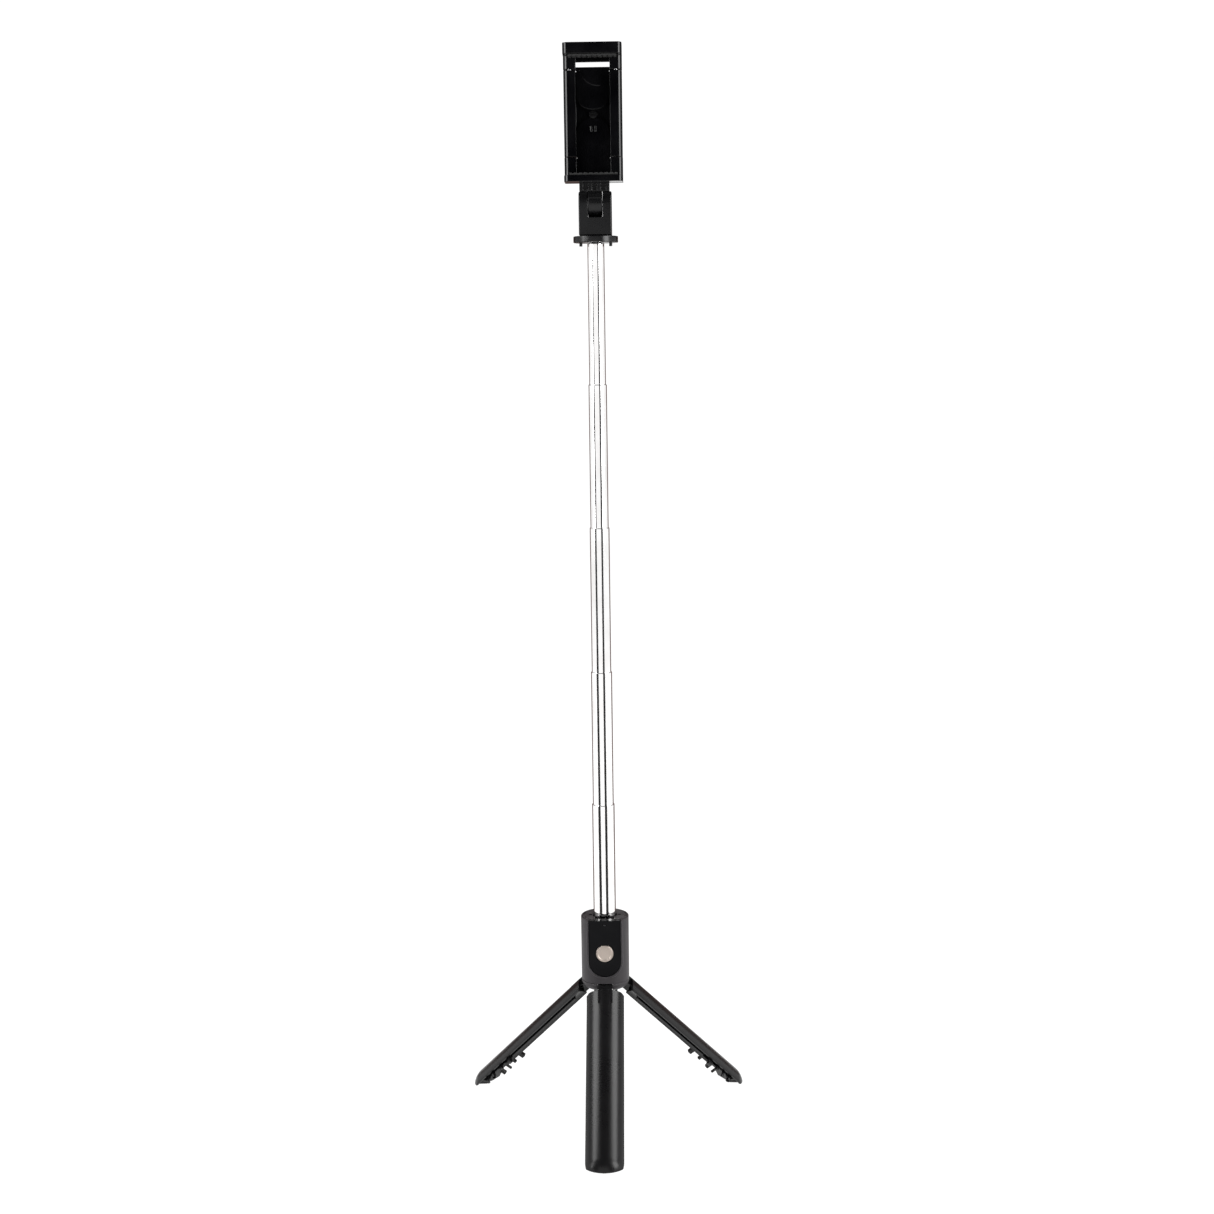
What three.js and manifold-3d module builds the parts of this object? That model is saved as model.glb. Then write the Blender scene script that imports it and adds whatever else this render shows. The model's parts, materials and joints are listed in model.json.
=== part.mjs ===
// Selfie stick with tripod legs, shown as it stands in use: legs open, pole drawn out,
// remote docked in the hub, phone clamp upright and closed. Millimetres, +Z up, front towards -Y.
//
// Everything is laid out about the pole's axis (x = 0, y = 0) with the ground at z = 0. The whole
// group is shifted at the end so that its origin is the middle of its footprint.
import * as THREE from 'three';
import { mergeVertices } from 'three/addons/utils/BufferGeometryUtils.js';
import Module from 'manifold-3d';

const wasm = await Module();
wasm.setup();

// ---------- driving dimensions ----------

const GAP = 0.3; // clearance between pieces that meet or turn on each other
const degrees = Math.PI / 180;

// hub
const hubRadius = 15.2;
const hubTop = 130.0;
const hubBottom = 83.2;
const hubSeam = 88.2; // the shell and its base meet here, and trap the leg pins between them
const hubWall = 1.6;
const hubFloor = 93.0; // the solid lower part of the shell ends here
const padFront = 14.9; // the flat pad round the remote, distance in front of the pole axis
const padHalfWidth = 11.45;

// legs
const hingeRadius = 11.4;
const hingeHeight = hubSeam;
const legAngle = 45.9 * degrees; // how far an open leg leans from upright
const legRadius = 14.05;
const legWall = 1.5;
const legHalfAngle = 58.5 * degrees;
const legTopDrop = 5.6; // from the hinge down to the top edge of the leg
const legLength = 126.1; // from the hinge to the tip
const legCornerRadius = 3.0; // at the top of the shell
const noseLength = 8.8; // the legs together end in a dome, which starts this far from the tip
const noseRadius = 13.7;
const linerEndDrop = 115.8; // from the hinge down to the end of the leg's liner
const knuckleRadius = 2.4;
const knuckleHalfWidth = 4.5;
const pinRadius = 1.0;
const legAzimuths = { front: 0, right: 120 * degrees, left: -120 * degrees };

// telescopic pole: section 1 is the thinnest and carries the head, section 6 is fixed in the hub
const thinnestTube = 10.2; // outer diameter
const tubeStep = 1.0; // each section is this much wider than the one inside it
const tubeWall = 0.3;
const tubeGrip = 14; // length of each section left inside the next one when drawn out
const visibleLengths = [84.4, 87.6, 90.3, 84.7, 72.6]; // sections 1 to 5, drawn out
const fixedTubeTop = hubTop - 5;
const fixedTubeLength = 110;
const lipHeight = 1.0;
const bushHeight = 12;
const tubeSides = 16;

// remote
const remoteHalfWidth = 9.95;
const remoteBack = 9.9; // distance in front of the pole axis
const remoteFront = padFront;
const remoteBottom = 93.5;
const remoteTop = hubTop + 0.1;
const remoteWall = 1.0;
const buttonRadius = 5.4;
const buttonHeight = 108.7;
const cellRadius = 8.0;
const cellHeight = remoteTop - 10.0;

// head
const discRadius = 13.5;
const discHeight = 3.8;
const pegRadius = 0.95;
const pegOffset = 9.0;
const pegLength = 2.1;
const forkHalfWidth = 9.9;
const forkHalfDepth = 7.5;
const forkSlotHalfWidth = 4.55;
const tiltAbovePole = 22.8; // tilt axis above the underside of the disc
const earRadius = 7.6;
const slotFloorBelowTilt = 8.0;
const armHalfWidth = 8.9;
const armReach = 15.9; // back of the arm's plate, in front of the pole axis
const armPlate = 3.0;
const spinAboveTilt = 49.9;

// phone clamp
const clampHalfWidth = 17.1;
const clampHeight = 78.4;
const clampBelowSpin = 39.2; // from the spin axis down to the clamp's lower end
const railHeight = 9.0; // how far the rails stand forward of the clamp's back
const railInner = 10.0; // inner side of each rail, from the middle
const railCorner = 3.0; // the rails and hooks are rounded along their outer front edges
const hookReach = 18.0;
const lowerHook = 3.6;
const upperHook = 6.3;
const lowerJawTop = 14.5;
const frameTop = 63.7;
const upperJawBottom = 64.3;
const frameSheet = 2.2;
const rodOffset = 13.5;
const rodDepth = 4.6;
const rodRadius = 1.2;
const rodBottom = 22.0;
const rodTop = 72.0;
const springWire = 0.35; // radius of the spring's wire
const springRadius = 1.9;
const springTurns = 8;

// ---------- colours ----------

const satinBlack = { color: 0x3a393c, roughness: 0.45, metalness: 0.0 };
const glossBlack = { color: 0x0d0d10, roughness: 0.12, metalness: 0.0 };
const mattBlack = { color: 0x1c1b1d, roughness: 0.6, metalness: 0.0 };
const chrome = { color: 0xe6e6e6, roughness: 0.08, metalness: 1.0 };
const steel = { color: 0xa9a9ab, roughness: 0.3, metalness: 1.0 };
const brushed = { color: 0xc9bcae, roughness: 0.3, metalness: 1.0 };
const rubber = { color: 0x171717, roughness: 0.9, metalness: 0.0 };
const whitePlastic = { color: 0xdddcd6, roughness: 0.5, metalness: 0.0 };
const greenBoard = { color: 0x1d5a33, roughness: 0.5, metalness: 0.0 };

// ---------- solids ----------

// A closed geometry as a solid: shared corners merged, empty triangles dropped, faces turned out.
function solid(geometry) {
  const bare = geometry.clone();
  bare.deleteAttribute('normal');
  bare.deleteAttribute('uv');
  const merged = mergeVertices(bare, 1e-4);
  const index = Array.from(merged.index.array);
  const place = merged.attributes.position.array;
  const triangles = [];
  let volume = 0;
  for (let i = 0; i < index.length; i += 3) {
    const [a, b, c] = index.slice(i, i + 3);
    if (a === b || b === c || c === a) continue;
    triangles.push([a, b, c]);
    const [p, q, r] = [a, b, c].map((k) => new THREE.Vector3().fromArray(place, 3 * k));
    volume += p.dot(q.cross(r));
  }
  if (volume < 0) triangles.forEach((triangle) => triangle.reverse());
  const mesh = new wasm.Mesh({
    numProp: 3,
    vertProperties: Float32Array.from(place),
    triVerts: Uint32Array.from(triangles.flat()),
  });
  return new wasm.Manifold(mesh);
}

function join(...solids) {
  return solids.reduce((whole, piece) => whole.add(piece));
}

function cut(whole, ...tools) {
  return tools.reduce((left, tool) => left.subtract(tool), whole);
}

function asGeometry(shape) {
  const mesh = shape.getMesh();
  const geometry = new THREE.BufferGeometry();
  geometry.setAttribute('position', new THREE.BufferAttribute(mesh.vertProperties, 3));
  geometry.setIndex(new THREE.BufferAttribute(mesh.triVerts, 1));
  return geometry;
}

// A turned shape about Z. The profile is a list of [radius, height].
function turned(profile, segments = 32) {
  const points = profile.map(([radius, height]) => new THREE.Vector2(radius, height));
  return solid(new THREE.LatheGeometry(points, segments).rotateX(Math.PI / 2));
}

// A ring, or a disc where inner is 0.
function ring(outer, inner, bottom, top, segments = 32) {
  const profile = [[inner, bottom], [outer, bottom], [outer, top], [inner, top]];
  if (inner > 0) profile.push([inner, bottom]);
  return turned(profile, segments);
}

function box(x0, x1, y0, y1, z0, z1) {
  const geometry = new THREE.BoxGeometry(x1 - x0, y1 - y0, z1 - z0);
  return solid(geometry.translate((x0 + x1) / 2, (y0 + y1) / 2, (z0 + z1) / 2));
}

// A straight rod between two points.
function rod(start, end, radius, segments = 12) {
  const from = new THREE.Vector3(...start);
  const along = new THREE.Vector3(...end).sub(from);
  const geometry = new THREE.CylinderGeometry(radius, radius, along.length(), segments);
  geometry.translate(0, along.length() / 2, 0);
  const upward = new THREE.Vector3(0, 1, 0);
  const turn = new THREE.Quaternion().setFromUnitVectors(upward, along.clone().normalize());
  return solid(geometry.applyQuaternion(turn).translate(...start));
}

function extruded(shape, depth, curveSegments, bevel = 0) {
  const options = { depth: depth - 2 * bevel, curveSegments, bevelEnabled: bevel > 0 };
  const edges = { bevelThickness: bevel, bevelSize: bevel, bevelOffset: -bevel, bevelSegments: 1 };
  Object.assign(options, edges);
  return new THREE.ExtrudeGeometry(shape, options).translate(0, 0, bevel);
}

// An outline drawn as (x, height), standing upright, from the distance near to the distance far
// in front of y = 0.
function upright(shape, near, far, curveSegments = 4, bevel = 0) {
  const geometry = extruded(shape, far - near, curveSegments, bevel);
  return solid(geometry.rotateX(Math.PI / 2).translate(0, -near, 0));
}

// An outline drawn as (distance in front of y = 0, height), from x0 to x1.
function sideways(shape, x0, x1, curveSegments = 4, bevel = 0) {
  const geometry = extruded(shape, x1 - x0, curveSegments, bevel);
  return solid(geometry.rotateX(Math.PI / 2).rotateZ(-Math.PI / 2).translate(x1, 0, 0));
}

// An outline drawn as seen from above, from one height to another.
function level(shape, bottom, top, curveSegments = 4) {
  return solid(extruded(shape, top - bottom, curveSegments).translate(0, 0, bottom));
}

// A rectangle whose lower and upper corners are rounded.
function rounded(x0, x1, z0, z1, lower, upper = lower) {
  const shape = new THREE.Shape();
  shape.moveTo(x0 + lower, z0);
  shape.lineTo(x1 - lower, z0);
  if (lower > 0) shape.absarc(x1 - lower, z0 + lower, lower, -Math.PI / 2, 0);
  shape.lineTo(x1, z1 - upper);
  if (upper > 0) shape.absarc(x1 - upper, z1 - upper, upper, 0, Math.PI / 2);
  shape.lineTo(x0 + upper, z1);
  if (upper > 0) shape.absarc(x0 + upper, z1 - upper, upper, Math.PI / 2, Math.PI);
  shape.lineTo(x0, z0 + lower);
  if (lower > 0) shape.absarc(x0 + lower, z0 + lower, lower, Math.PI, 1.5 * Math.PI);
  return shape;
}

// A clamp rail seen from above, on one side of the middle (side is -1 or 1).
function railOutline(side, half, depth) {
  const shape = new THREE.Shape();
  const inner = side * railInner;
  const outer = side * half;
  const corner = side * (half - railCorner);
  shape.moveTo(inner, 0);
  shape.lineTo(inner, -depth);
  shape.lineTo(corner, -depth);
  const [start, end] = side > 0 ? [-Math.PI / 2, 0] : [-Math.PI / 2, -Math.PI];
  shape.absarc(corner, railCorner - depth, railCorner, start, end, side < 0);
  shape.lineTo(outer, 0);
  return shape;
}

// Part of a ring seen from above, centred on the front.
function sector(outer, inner, halfAngle) {
  const shape = new THREE.Shape();
  shape.absarc(0, 0, outer, -Math.PI / 2 - halfAngle, -Math.PI / 2 + halfAngle, false);
  shape.absarc(0, 0, inner, -Math.PI / 2 + halfAngle, -Math.PI / 2 - halfAngle, true);
  return shape;
}

// ---------- scene graph ----------

const stick = new THREE.Group();

function piece(name, shape, look, parent = stick) {
  const mesh = new THREE.Mesh(asGeometry(shape), new THREE.MeshStandardMaterial(look));
  mesh.name = name;
  parent.add(mesh);
  return mesh;
}

// ---------- hub ----------

function azimuthTurn(shape, azimuth) {
  return shape.rotate([0, 0, azimuth / degrees]);
}

// The U-shaped outline that the remote, its channel and the pad round it share.
function shield(halfWidth, bottom, top) {
  return rounded(-halfWidth, halfWidth, bottom, top, halfWidth * 0.97, 0);
}

function hubBody() {
  const edge = 0.6;
  const flatRadius = 11.4;
  const steps = 5;
  const profile = [[0, hubBottom], [flatRadius, hubBottom]];
  for (let step = 1; step <= steps; step += 1) {
    const angle = (step / steps) * (Math.PI / 2);
    profile.push([
      flatRadius + (hubRadius - flatRadius) * Math.sin(angle),
      hubBottom + (hubSeam - hubBottom) * (1 - Math.cos(angle)),
    ]);
  }
  profile.push([hubRadius, hubTop - edge], [hubRadius - edge, hubTop], [0, hubTop]);
  const padBottom = remoteBottom - 1.6;
  const pad = upright(shield(padHalfWidth, padBottom, hubTop), 6, padFront, 4, 0.7);
  return join(turned(profile), pad);
}

// Room for one leg's knuckle and its pin, open at the bottom and to the outside.
function knuckleRoom(azimuth) {
  const halfWidth = knuckleHalfWidth + GAP;
  const inside = -(hingeRadius - knuckleRadius - 0.3);
  const outside = -(hingeRadius + knuckleRadius + 0.35);
  const slot = box(-halfWidth, halfWidth, -20, inside, hubBottom - 1, hubSeam + 0.65);
  const pocket = box(-halfWidth, halfWidth, outside, inside, hubSeam - 1, hubSeam + knuckleRadius + 0.4);
  const half = knuckleHalfWidth + 3.1;
  const pin = rod([-half, -hingeRadius, hingeHeight], [half, -hingeRadius, hingeHeight], pinRadius + GAP);
  return azimuthTurn(join(slot, pocket, pin), azimuth);
}

function buildHub() {
  const rooms = Object.values(legAzimuths).map(knuckleRoom);
  const tubeBore = ring(7.85, 0, hubBottom - 1, hubTop + 1, tubeSides);
  const hollow = ring(hubRadius - hubWall, 0, hubFloor, hubTop + 1);
  const channel = upright(shield(remoteHalfWidth + GAP, remoteBottom - GAP, hubTop + 5), 9.5, 20);
  const whole = hubBody();
  const below = box(-30, 30, -30, 30, hubBottom - 5, hubSeam - GAP / 2);
  const above = box(-30, 30, -30, 30, hubSeam + GAP / 2, hubTop + 5);

  let shell = cut(whole.intersect(above), tubeBore, hollow, channel, ...rooms);
  for (const side of [-1, 1]) {
    const [x0, x1] = side < 0 ? [-remoteHalfWidth - 0.7, -9.3] : [9.3, remoteHalfWidth + 0.7];
    shell = join(shell, box(x0, x1, -12.45, -11.95, 103, 127));
  }
  piece('hub_shell', shell, satinBlack);
  piece('hub_base', cut(whole.intersect(below), tubeBore, ...rooms), satinBlack);

  const pegHoles = [-1, 1].map((side) => {
    const x = side * pegOffset;
    return rod([x, 0, hubFloor], [x, 0, hubTop + 5], pegRadius + 0.45);
  });
  const cap = ring(hubRadius - hubWall - GAP, 0, hubTop - 2, hubTop);
  const mouth = box(-6.2, 6.2, -12, -3, hubTop - 5, hubTop + 1);
  piece('hub_cap', cut(cap, tubeBore, channel, mouth, ...pegHoles), satinBlack);
  const widestTube = thinnestTube + 5 * tubeStep;
  const collar = ring(9.2, (widestTube + GAP) / 2, hubFloor + GAP, hubFloor + 12, tubeSides);
  piece('tube_collar', collar, mattBlack);

  for (const [side, azimuth] of Object.entries(legAzimuths)) {
    const half = knuckleHalfWidth + 2.8;
    const pin = rod([-half, -hingeRadius, hingeHeight], [half, -hingeRadius, hingeHeight], pinRadius, 12);
    piece(`leg_pin_${side}`, azimuthTurn(pin, azimuth), steel);
  }
}

// ---------- legs ----------

// The ground under an open leg, as it lies when the leg is drawn folded.
function groundUnder(height) {
  const ground = new THREE.BoxGeometry(120, 300, 60).translate(0, 0, height - 30 - hingeHeight);
  ground.translate(0, hingeRadius, 0).rotateX(legAngle).translate(0, -hingeRadius, hingeHeight);
  return solid(ground);
}

// The outer surface of a leg turned into a solid, with the dome at its end, drawn in by inset.
function domed(inset) {
  const start = hingeHeight - legLength + noseLength;
  const centre = legRadius - noseRadius;
  const radius = noseRadius - inset;
  const sweep = Math.asin(noseLength / noseRadius);
  const steps = 5;
  const profile = [[0, start - radius * Math.sin(sweep)]];
  for (let step = steps; step >= 0; step -= 1) {
    const angle = (sweep * step) / steps;
    profile.push([centre + radius * Math.cos(angle), start - radius * Math.sin(angle)]);
  }
  profile.push([legRadius - inset, hingeHeight], [0, hingeHeight]);
  return turned(profile, 36);
}

function legShell() {
  const tip = hingeHeight - legLength;
  const top = hingeHeight - legTopDrop;
  const half = legRadius * Math.sin(legHalfAngle) + 0.2;
  const slice = level(sector(legRadius + 1, 4, legHalfAngle), tip - 1, top, 6);
  const outline = upright(rounded(-half, half, tip - 1, top, 0, legCornerRadius), 0, 20, 3);
  const wall = cut(slice.intersect(domed(0)).intersect(outline), domed(legWall));
  const knuckle = new THREE.Shape();
  const front = hingeRadius + 2.2;
  const back = hingeRadius - knuckleRadius;
  knuckle.moveTo(back, hingeHeight);
  knuckle.absarc(hingeRadius, hingeHeight, knuckleRadius, Math.PI, Math.PI * 0.2, true);
  knuckle.lineTo(front, hingeHeight - 4);
  knuckle.lineTo(front, hingeHeight - 15);
  knuckle.lineTo(back + 1.6, hingeHeight - 11);
  knuckle.lineTo(back, hingeHeight - 6);
  const bore = rod([-8, -hingeRadius, hingeHeight], [8, -hingeRadius, hingeHeight], pinRadius + GAP);
  const arm = sideways(knuckle, -knuckleHalfWidth, knuckleHalfWidth);
  return cut(join(wall, arm), bore, groundUnder(0.4));
}

// Where the pegs of neighbouring legs meet: a point on the plane between two legs, and the
// directions away from the middle of this leg and along the plane.
function meetingPlane(side) {
  const angle = -Math.PI / 2 + side * 60 * degrees;
  const along = new THREE.Vector3(Math.cos(angle), Math.sin(angle), 0);
  const across = new THREE.Vector3(-Math.sin(angle) * side, Math.cos(angle) * side, 0);
  return { along, across };
}

function peg(side, drop, radius, from, to) {
  const { along, across } = meetingPlane(side);
  const centre = along.clone().multiplyScalar(10.1).setZ(hingeHeight - drop);
  const start = centre.clone().addScaledVector(across, from);
  const end = centre.clone().addScaledVector(across, to);
  return rod(start.toArray(), end.toArray(), radius, 8);
}

function tooth(side, drop, length, from, to, depth) {
  const geometry = new THREE.BoxGeometry(depth, to - from, length).translate(10.4, (from + to) / 2, 0);
  if (side < 0) geometry.scale(1, -1, 1);
  const angle = -Math.PI / 2 + side * 60 * degrees;
  return solid(geometry.rotateZ(angle).translate(0, 0, hingeHeight - drop));
}

function legLiner() {
  const top = hingeHeight - 16;
  const bottom = hingeHeight - linerEndDrop;
  const inner = 8.4;
  const ribInner = 9.3;
  const ribOuter = legRadius - legWall - GAP;
  let liner = level(sector(9.6, inner, 53 * degrees), bottom, top, 3);
  for (const side of [-1, 1]) {
    const rib = level(sector(ribOuter, ribInner, 2 * degrees), bottom, top, 1);
    liner = join(liner, rib.rotate([0, 0, side * 38]));
  }
  for (const drop of [18, 48, 79]) {
    const web = level(sector(ribOuter - 0.3, ribInner, 37.3 * degrees), 0, 1.2, 2);
    liner = join(liner, web.translate([0, 0, hingeHeight - drop]));
  }
  // a gusset at the end, which reaches in towards the other legs
  const gusset = new THREE.Shape();
  gusset.moveTo(ribOuter - 0.2, hingeHeight - 106.5);
  gusset.lineTo(inner + 0.2, hingeHeight - 106.5);
  gusset.lineTo(3.2, hingeHeight - 113.9);
  gusset.lineTo(5.4, bottom - 0.5);
  gusset.lineTo(ribOuter - 0.2, bottom - 0.5);
  const gussetSlice = level(sector(ribOuter - 0.2, 3.2, 56 * degrees), bottom - 2, top, 3);
  liner = join(liner, sideways(gusset, -10, 10, 1).intersect(gussetSlice));
  const teeth = { 1: [87.6, 96.6], '-1': [91.2, 99.3] };
  const ringDrop = { 1: 105.9, '-1': 112.2 };
  const pegDrop = { 1: 112.2, '-1': 105.9 };
  for (const side of [-1, 1]) {
    liner = cut(liner, tooth(side, 89.4, 8.2, -3, 4, 3.6), tooth(side, 98, 5.6, -3, 4, 3.0));
    liner = cut(liner, tooth(side, 109, 11.6, -3, 4, 4.4));
  }
  for (const side of [-1, 1]) {
    const [long, short] = teeth[side];
    liner = join(liner, tooth(side, long, 2.8, -4.2, 2.6, 2.6), tooth(side, short, 1.8, -4.2, 1.8, 2.0));
    liner = join(liner, peg(side, ringDrop[side], 1.6, -4, 2.4), peg(side, pegDrop[side], 0.95, -4, 2.8));
    liner = cut(liner, peg(side, ringDrop[side], 1.27, -3.4, 4));
  }
  return liner;
}

function footPad() {
  const top = hingeHeight - linerEndDrop - 0.5 - GAP;
  const slice = level(sector(legRadius, 5.5, 44 * degrees), hingeHeight - legLength - 6, top, 3);
  return cut(slice.intersect(domed(legWall + GAP)), groundUnder(0));
}

function buildLegs() {
  const shell = legShell();
  const liner = legLiner();
  const foot = footPad();
  for (const [side, azimuth] of Object.entries(legAzimuths)) {
    const turn = new THREE.Group();
    turn.rotation.z = azimuth;
    const hinge = new THREE.Group();
    hinge.position.set(0, -hingeRadius, hingeHeight);
    hinge.rotation.x = -legAngle;
    turn.add(hinge);
    stick.add(turn);
    const pieces = [
      piece(`leg_shell_${side}`, shell, satinBlack, hinge),
      piece(`leg_liner_${side}`, liner, mattBlack, hinge),
      piece(`foot_pad_${side}`, foot, rubber, hinge),
    ];
    pieces.forEach((mesh) => mesh.position.set(0, hingeRadius, -hingeHeight));
  }
}

// ---------- pole ----------

const tubeRadius = (section) => thinnestTube / 2 + ((section - 1) * tubeStep) / 2;

// A tube whose rolled-in top edge holds the next thinner section.
function tube(outer, lip, bottom, top) {
  const inner = outer - tubeWall;
  return turned([
    [inner, bottom],
    [outer, bottom],
    [outer, top - 0.5],
    [outer - 0.2, top],
    [lip, top],
    [lip, top - lipHeight],
    [inner, top - lipHeight],
    [inner, bottom],
  ], tubeSides);
}

function buildPole() {
  let top = fixedTubeTop;
  const lipFor = (section) => tubeRadius(section - 1) + 0.06;
  piece('tube_6', tube(tubeRadius(6), lipFor(6), top - fixedTubeLength, top), chrome);
  const plugTop = top - fixedTubeLength + 3;
  const plug = join(
    ring(tubeRadius(6), 0, plugTop - 5.2, plugTop - 3 - GAP / 2, tubeSides),
    ring(tubeRadius(6) - tubeWall - 0.1, 0, plugTop - 4, plugTop, tubeSides),
  );
  piece('end_plug', plug, mattBlack);

  for (let section = 5; section >= 1; section -= 1) {
    const visible = visibleLengths[section - 1] + (section === 5 ? hubTop - fixedTubeTop : 0);
    const bottom = top - tubeGrip;
    const sectionTop = top + visible;
    const outer = tubeRadius(section);
    const lip = section > 1 ? lipFor(section) : outer - tubeWall - 0.5;
    piece(`tube_${section}`, tube(outer, lip, bottom, sectionTop), chrome);
    const bushBottom = bottom + 0.6;
    const bushOuter = outer + tubeStep / 2 - tubeWall - 0.05;
    const bush = ring(bushOuter, outer + 0.04, bushBottom, bushBottom + bushHeight, tubeSides);
    piece(`bush_${section}`, bush, whitePlastic);
    top = sectionTop;
  }
  return top;
}

// ---------- remote ----------

function buildRemote() {
  const seamFront = 12.65;
  const seamBack = 11.75;
  const inside = remoteHalfWidth - remoteWall;
  const ledHeight = remoteTop - 2.9;
  const outline = shield(remoteHalfWidth, remoteBottom, remoteTop);
  const hollowBottom = remoteBottom + remoteWall;
  const hollow = rounded(-inside, inside, hollowBottom, remoteTop - remoteWall, inside * 0.97, 0.5);
  const faceHole = rod([0, -20, buttonHeight], [0, -10, buttonHeight], buttonRadius + 0.25, 24);
  const ledHole = rod([0, -20, ledHeight], [0, -10, ledHeight], 0.7, 8);
  const front = cut(
    upright(outline, seamFront, remoteFront, 4, 0.35),
    upright(hollow, seamFront - 1, remoteFront - 1.2),
    faceHole,
    ledHole,
  );
  piece('remote_front', front, glossBlack);

  const lipOuter = inside - 0.25;
  const lipInner = lipOuter - 0.55;
  const bottomOf = (half) => remoteBottom + remoteHalfWidth - half;
  const topOf = (half) => remoteTop - (remoteHalfWidth - half);
  const lip = (half) => rounded(-half, half, bottomOf(half), topOf(half), half * 0.97, 0.4);
  const doorHole = rod([0, -11.5, cellHeight], [0, -8, cellHeight], 7.6, 20);
  const doorStep = rod([0, -10.35, cellHeight], [0, -8, cellHeight], 8.1, 20);
  const back = cut(
    join(
      upright(outline, remoteBack, seamBack, 4, 0.3),
      upright(lip(lipOuter), remoteBack + 0.4, remoteFront - 1.6),
    ),
    upright(lip(lipInner), remoteBack + 0.8, remoteFront),
    doorHole,
    doorStep,
  );
  piece('remote_back', back, mattBlack);

  const coinSlot = box(-4, 4, -10.2, -9, cellHeight - 0.7, cellHeight + 0.7);
  const door = cut(rod([0, -10.2, cellHeight], [0, -remoteBack, cellHeight], 7.75, 20), coinSlot);
  const doorPlug = rod([0, -10.55, cellHeight], [0, -10.1, cellHeight], 7.25, 20);
  piece('battery_door', join(door, doorPlug), mattBlack);
  piece('coin_cell', rod([0, -12.45, cellHeight], [0, -10.85, cellHeight], cellRadius, 24), steel);

  const boardShape = rounded(-7.6, 7.6, remoteBottom + 3.8, cellHeight - cellRadius - 0.4, 5, 0.5);
  piece('circuit_board', upright(boardShape, 11.2, 12.0, 3), greenBoard);
  const contact = rounded(-7.5, -6.3, cellHeight - 11.4, cellHeight - 2.4, 0.4);
  piece('cell_contact', upright(contact, 12.55, 12.75, 1), brushed);
  piece('dome_switch', rod([0, -12.3, buttonHeight - 2.2], [0, -12.02, buttonHeight - 2.2], 2.2, 16), steel);
  piece('status_led', rod([0, -14.75, ledHeight], [0, -13.1, ledHeight], 0.45, 8), whitePlastic);

  const button = join(
    rod([0, -15.25, buttonHeight], [0, -13.3, buttonHeight], buttonRadius, 24),
    rod([0, -13.35, buttonHeight], [0, -13.05, buttonHeight], 6.1, 24),
    rod([0, -13.2, buttonHeight - 2.2], [0, -12.78, buttonHeight - 2.2], 1.2, 12),
  );
  piece('remote_button', button, brushed);
}

// ---------- head ----------

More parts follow.
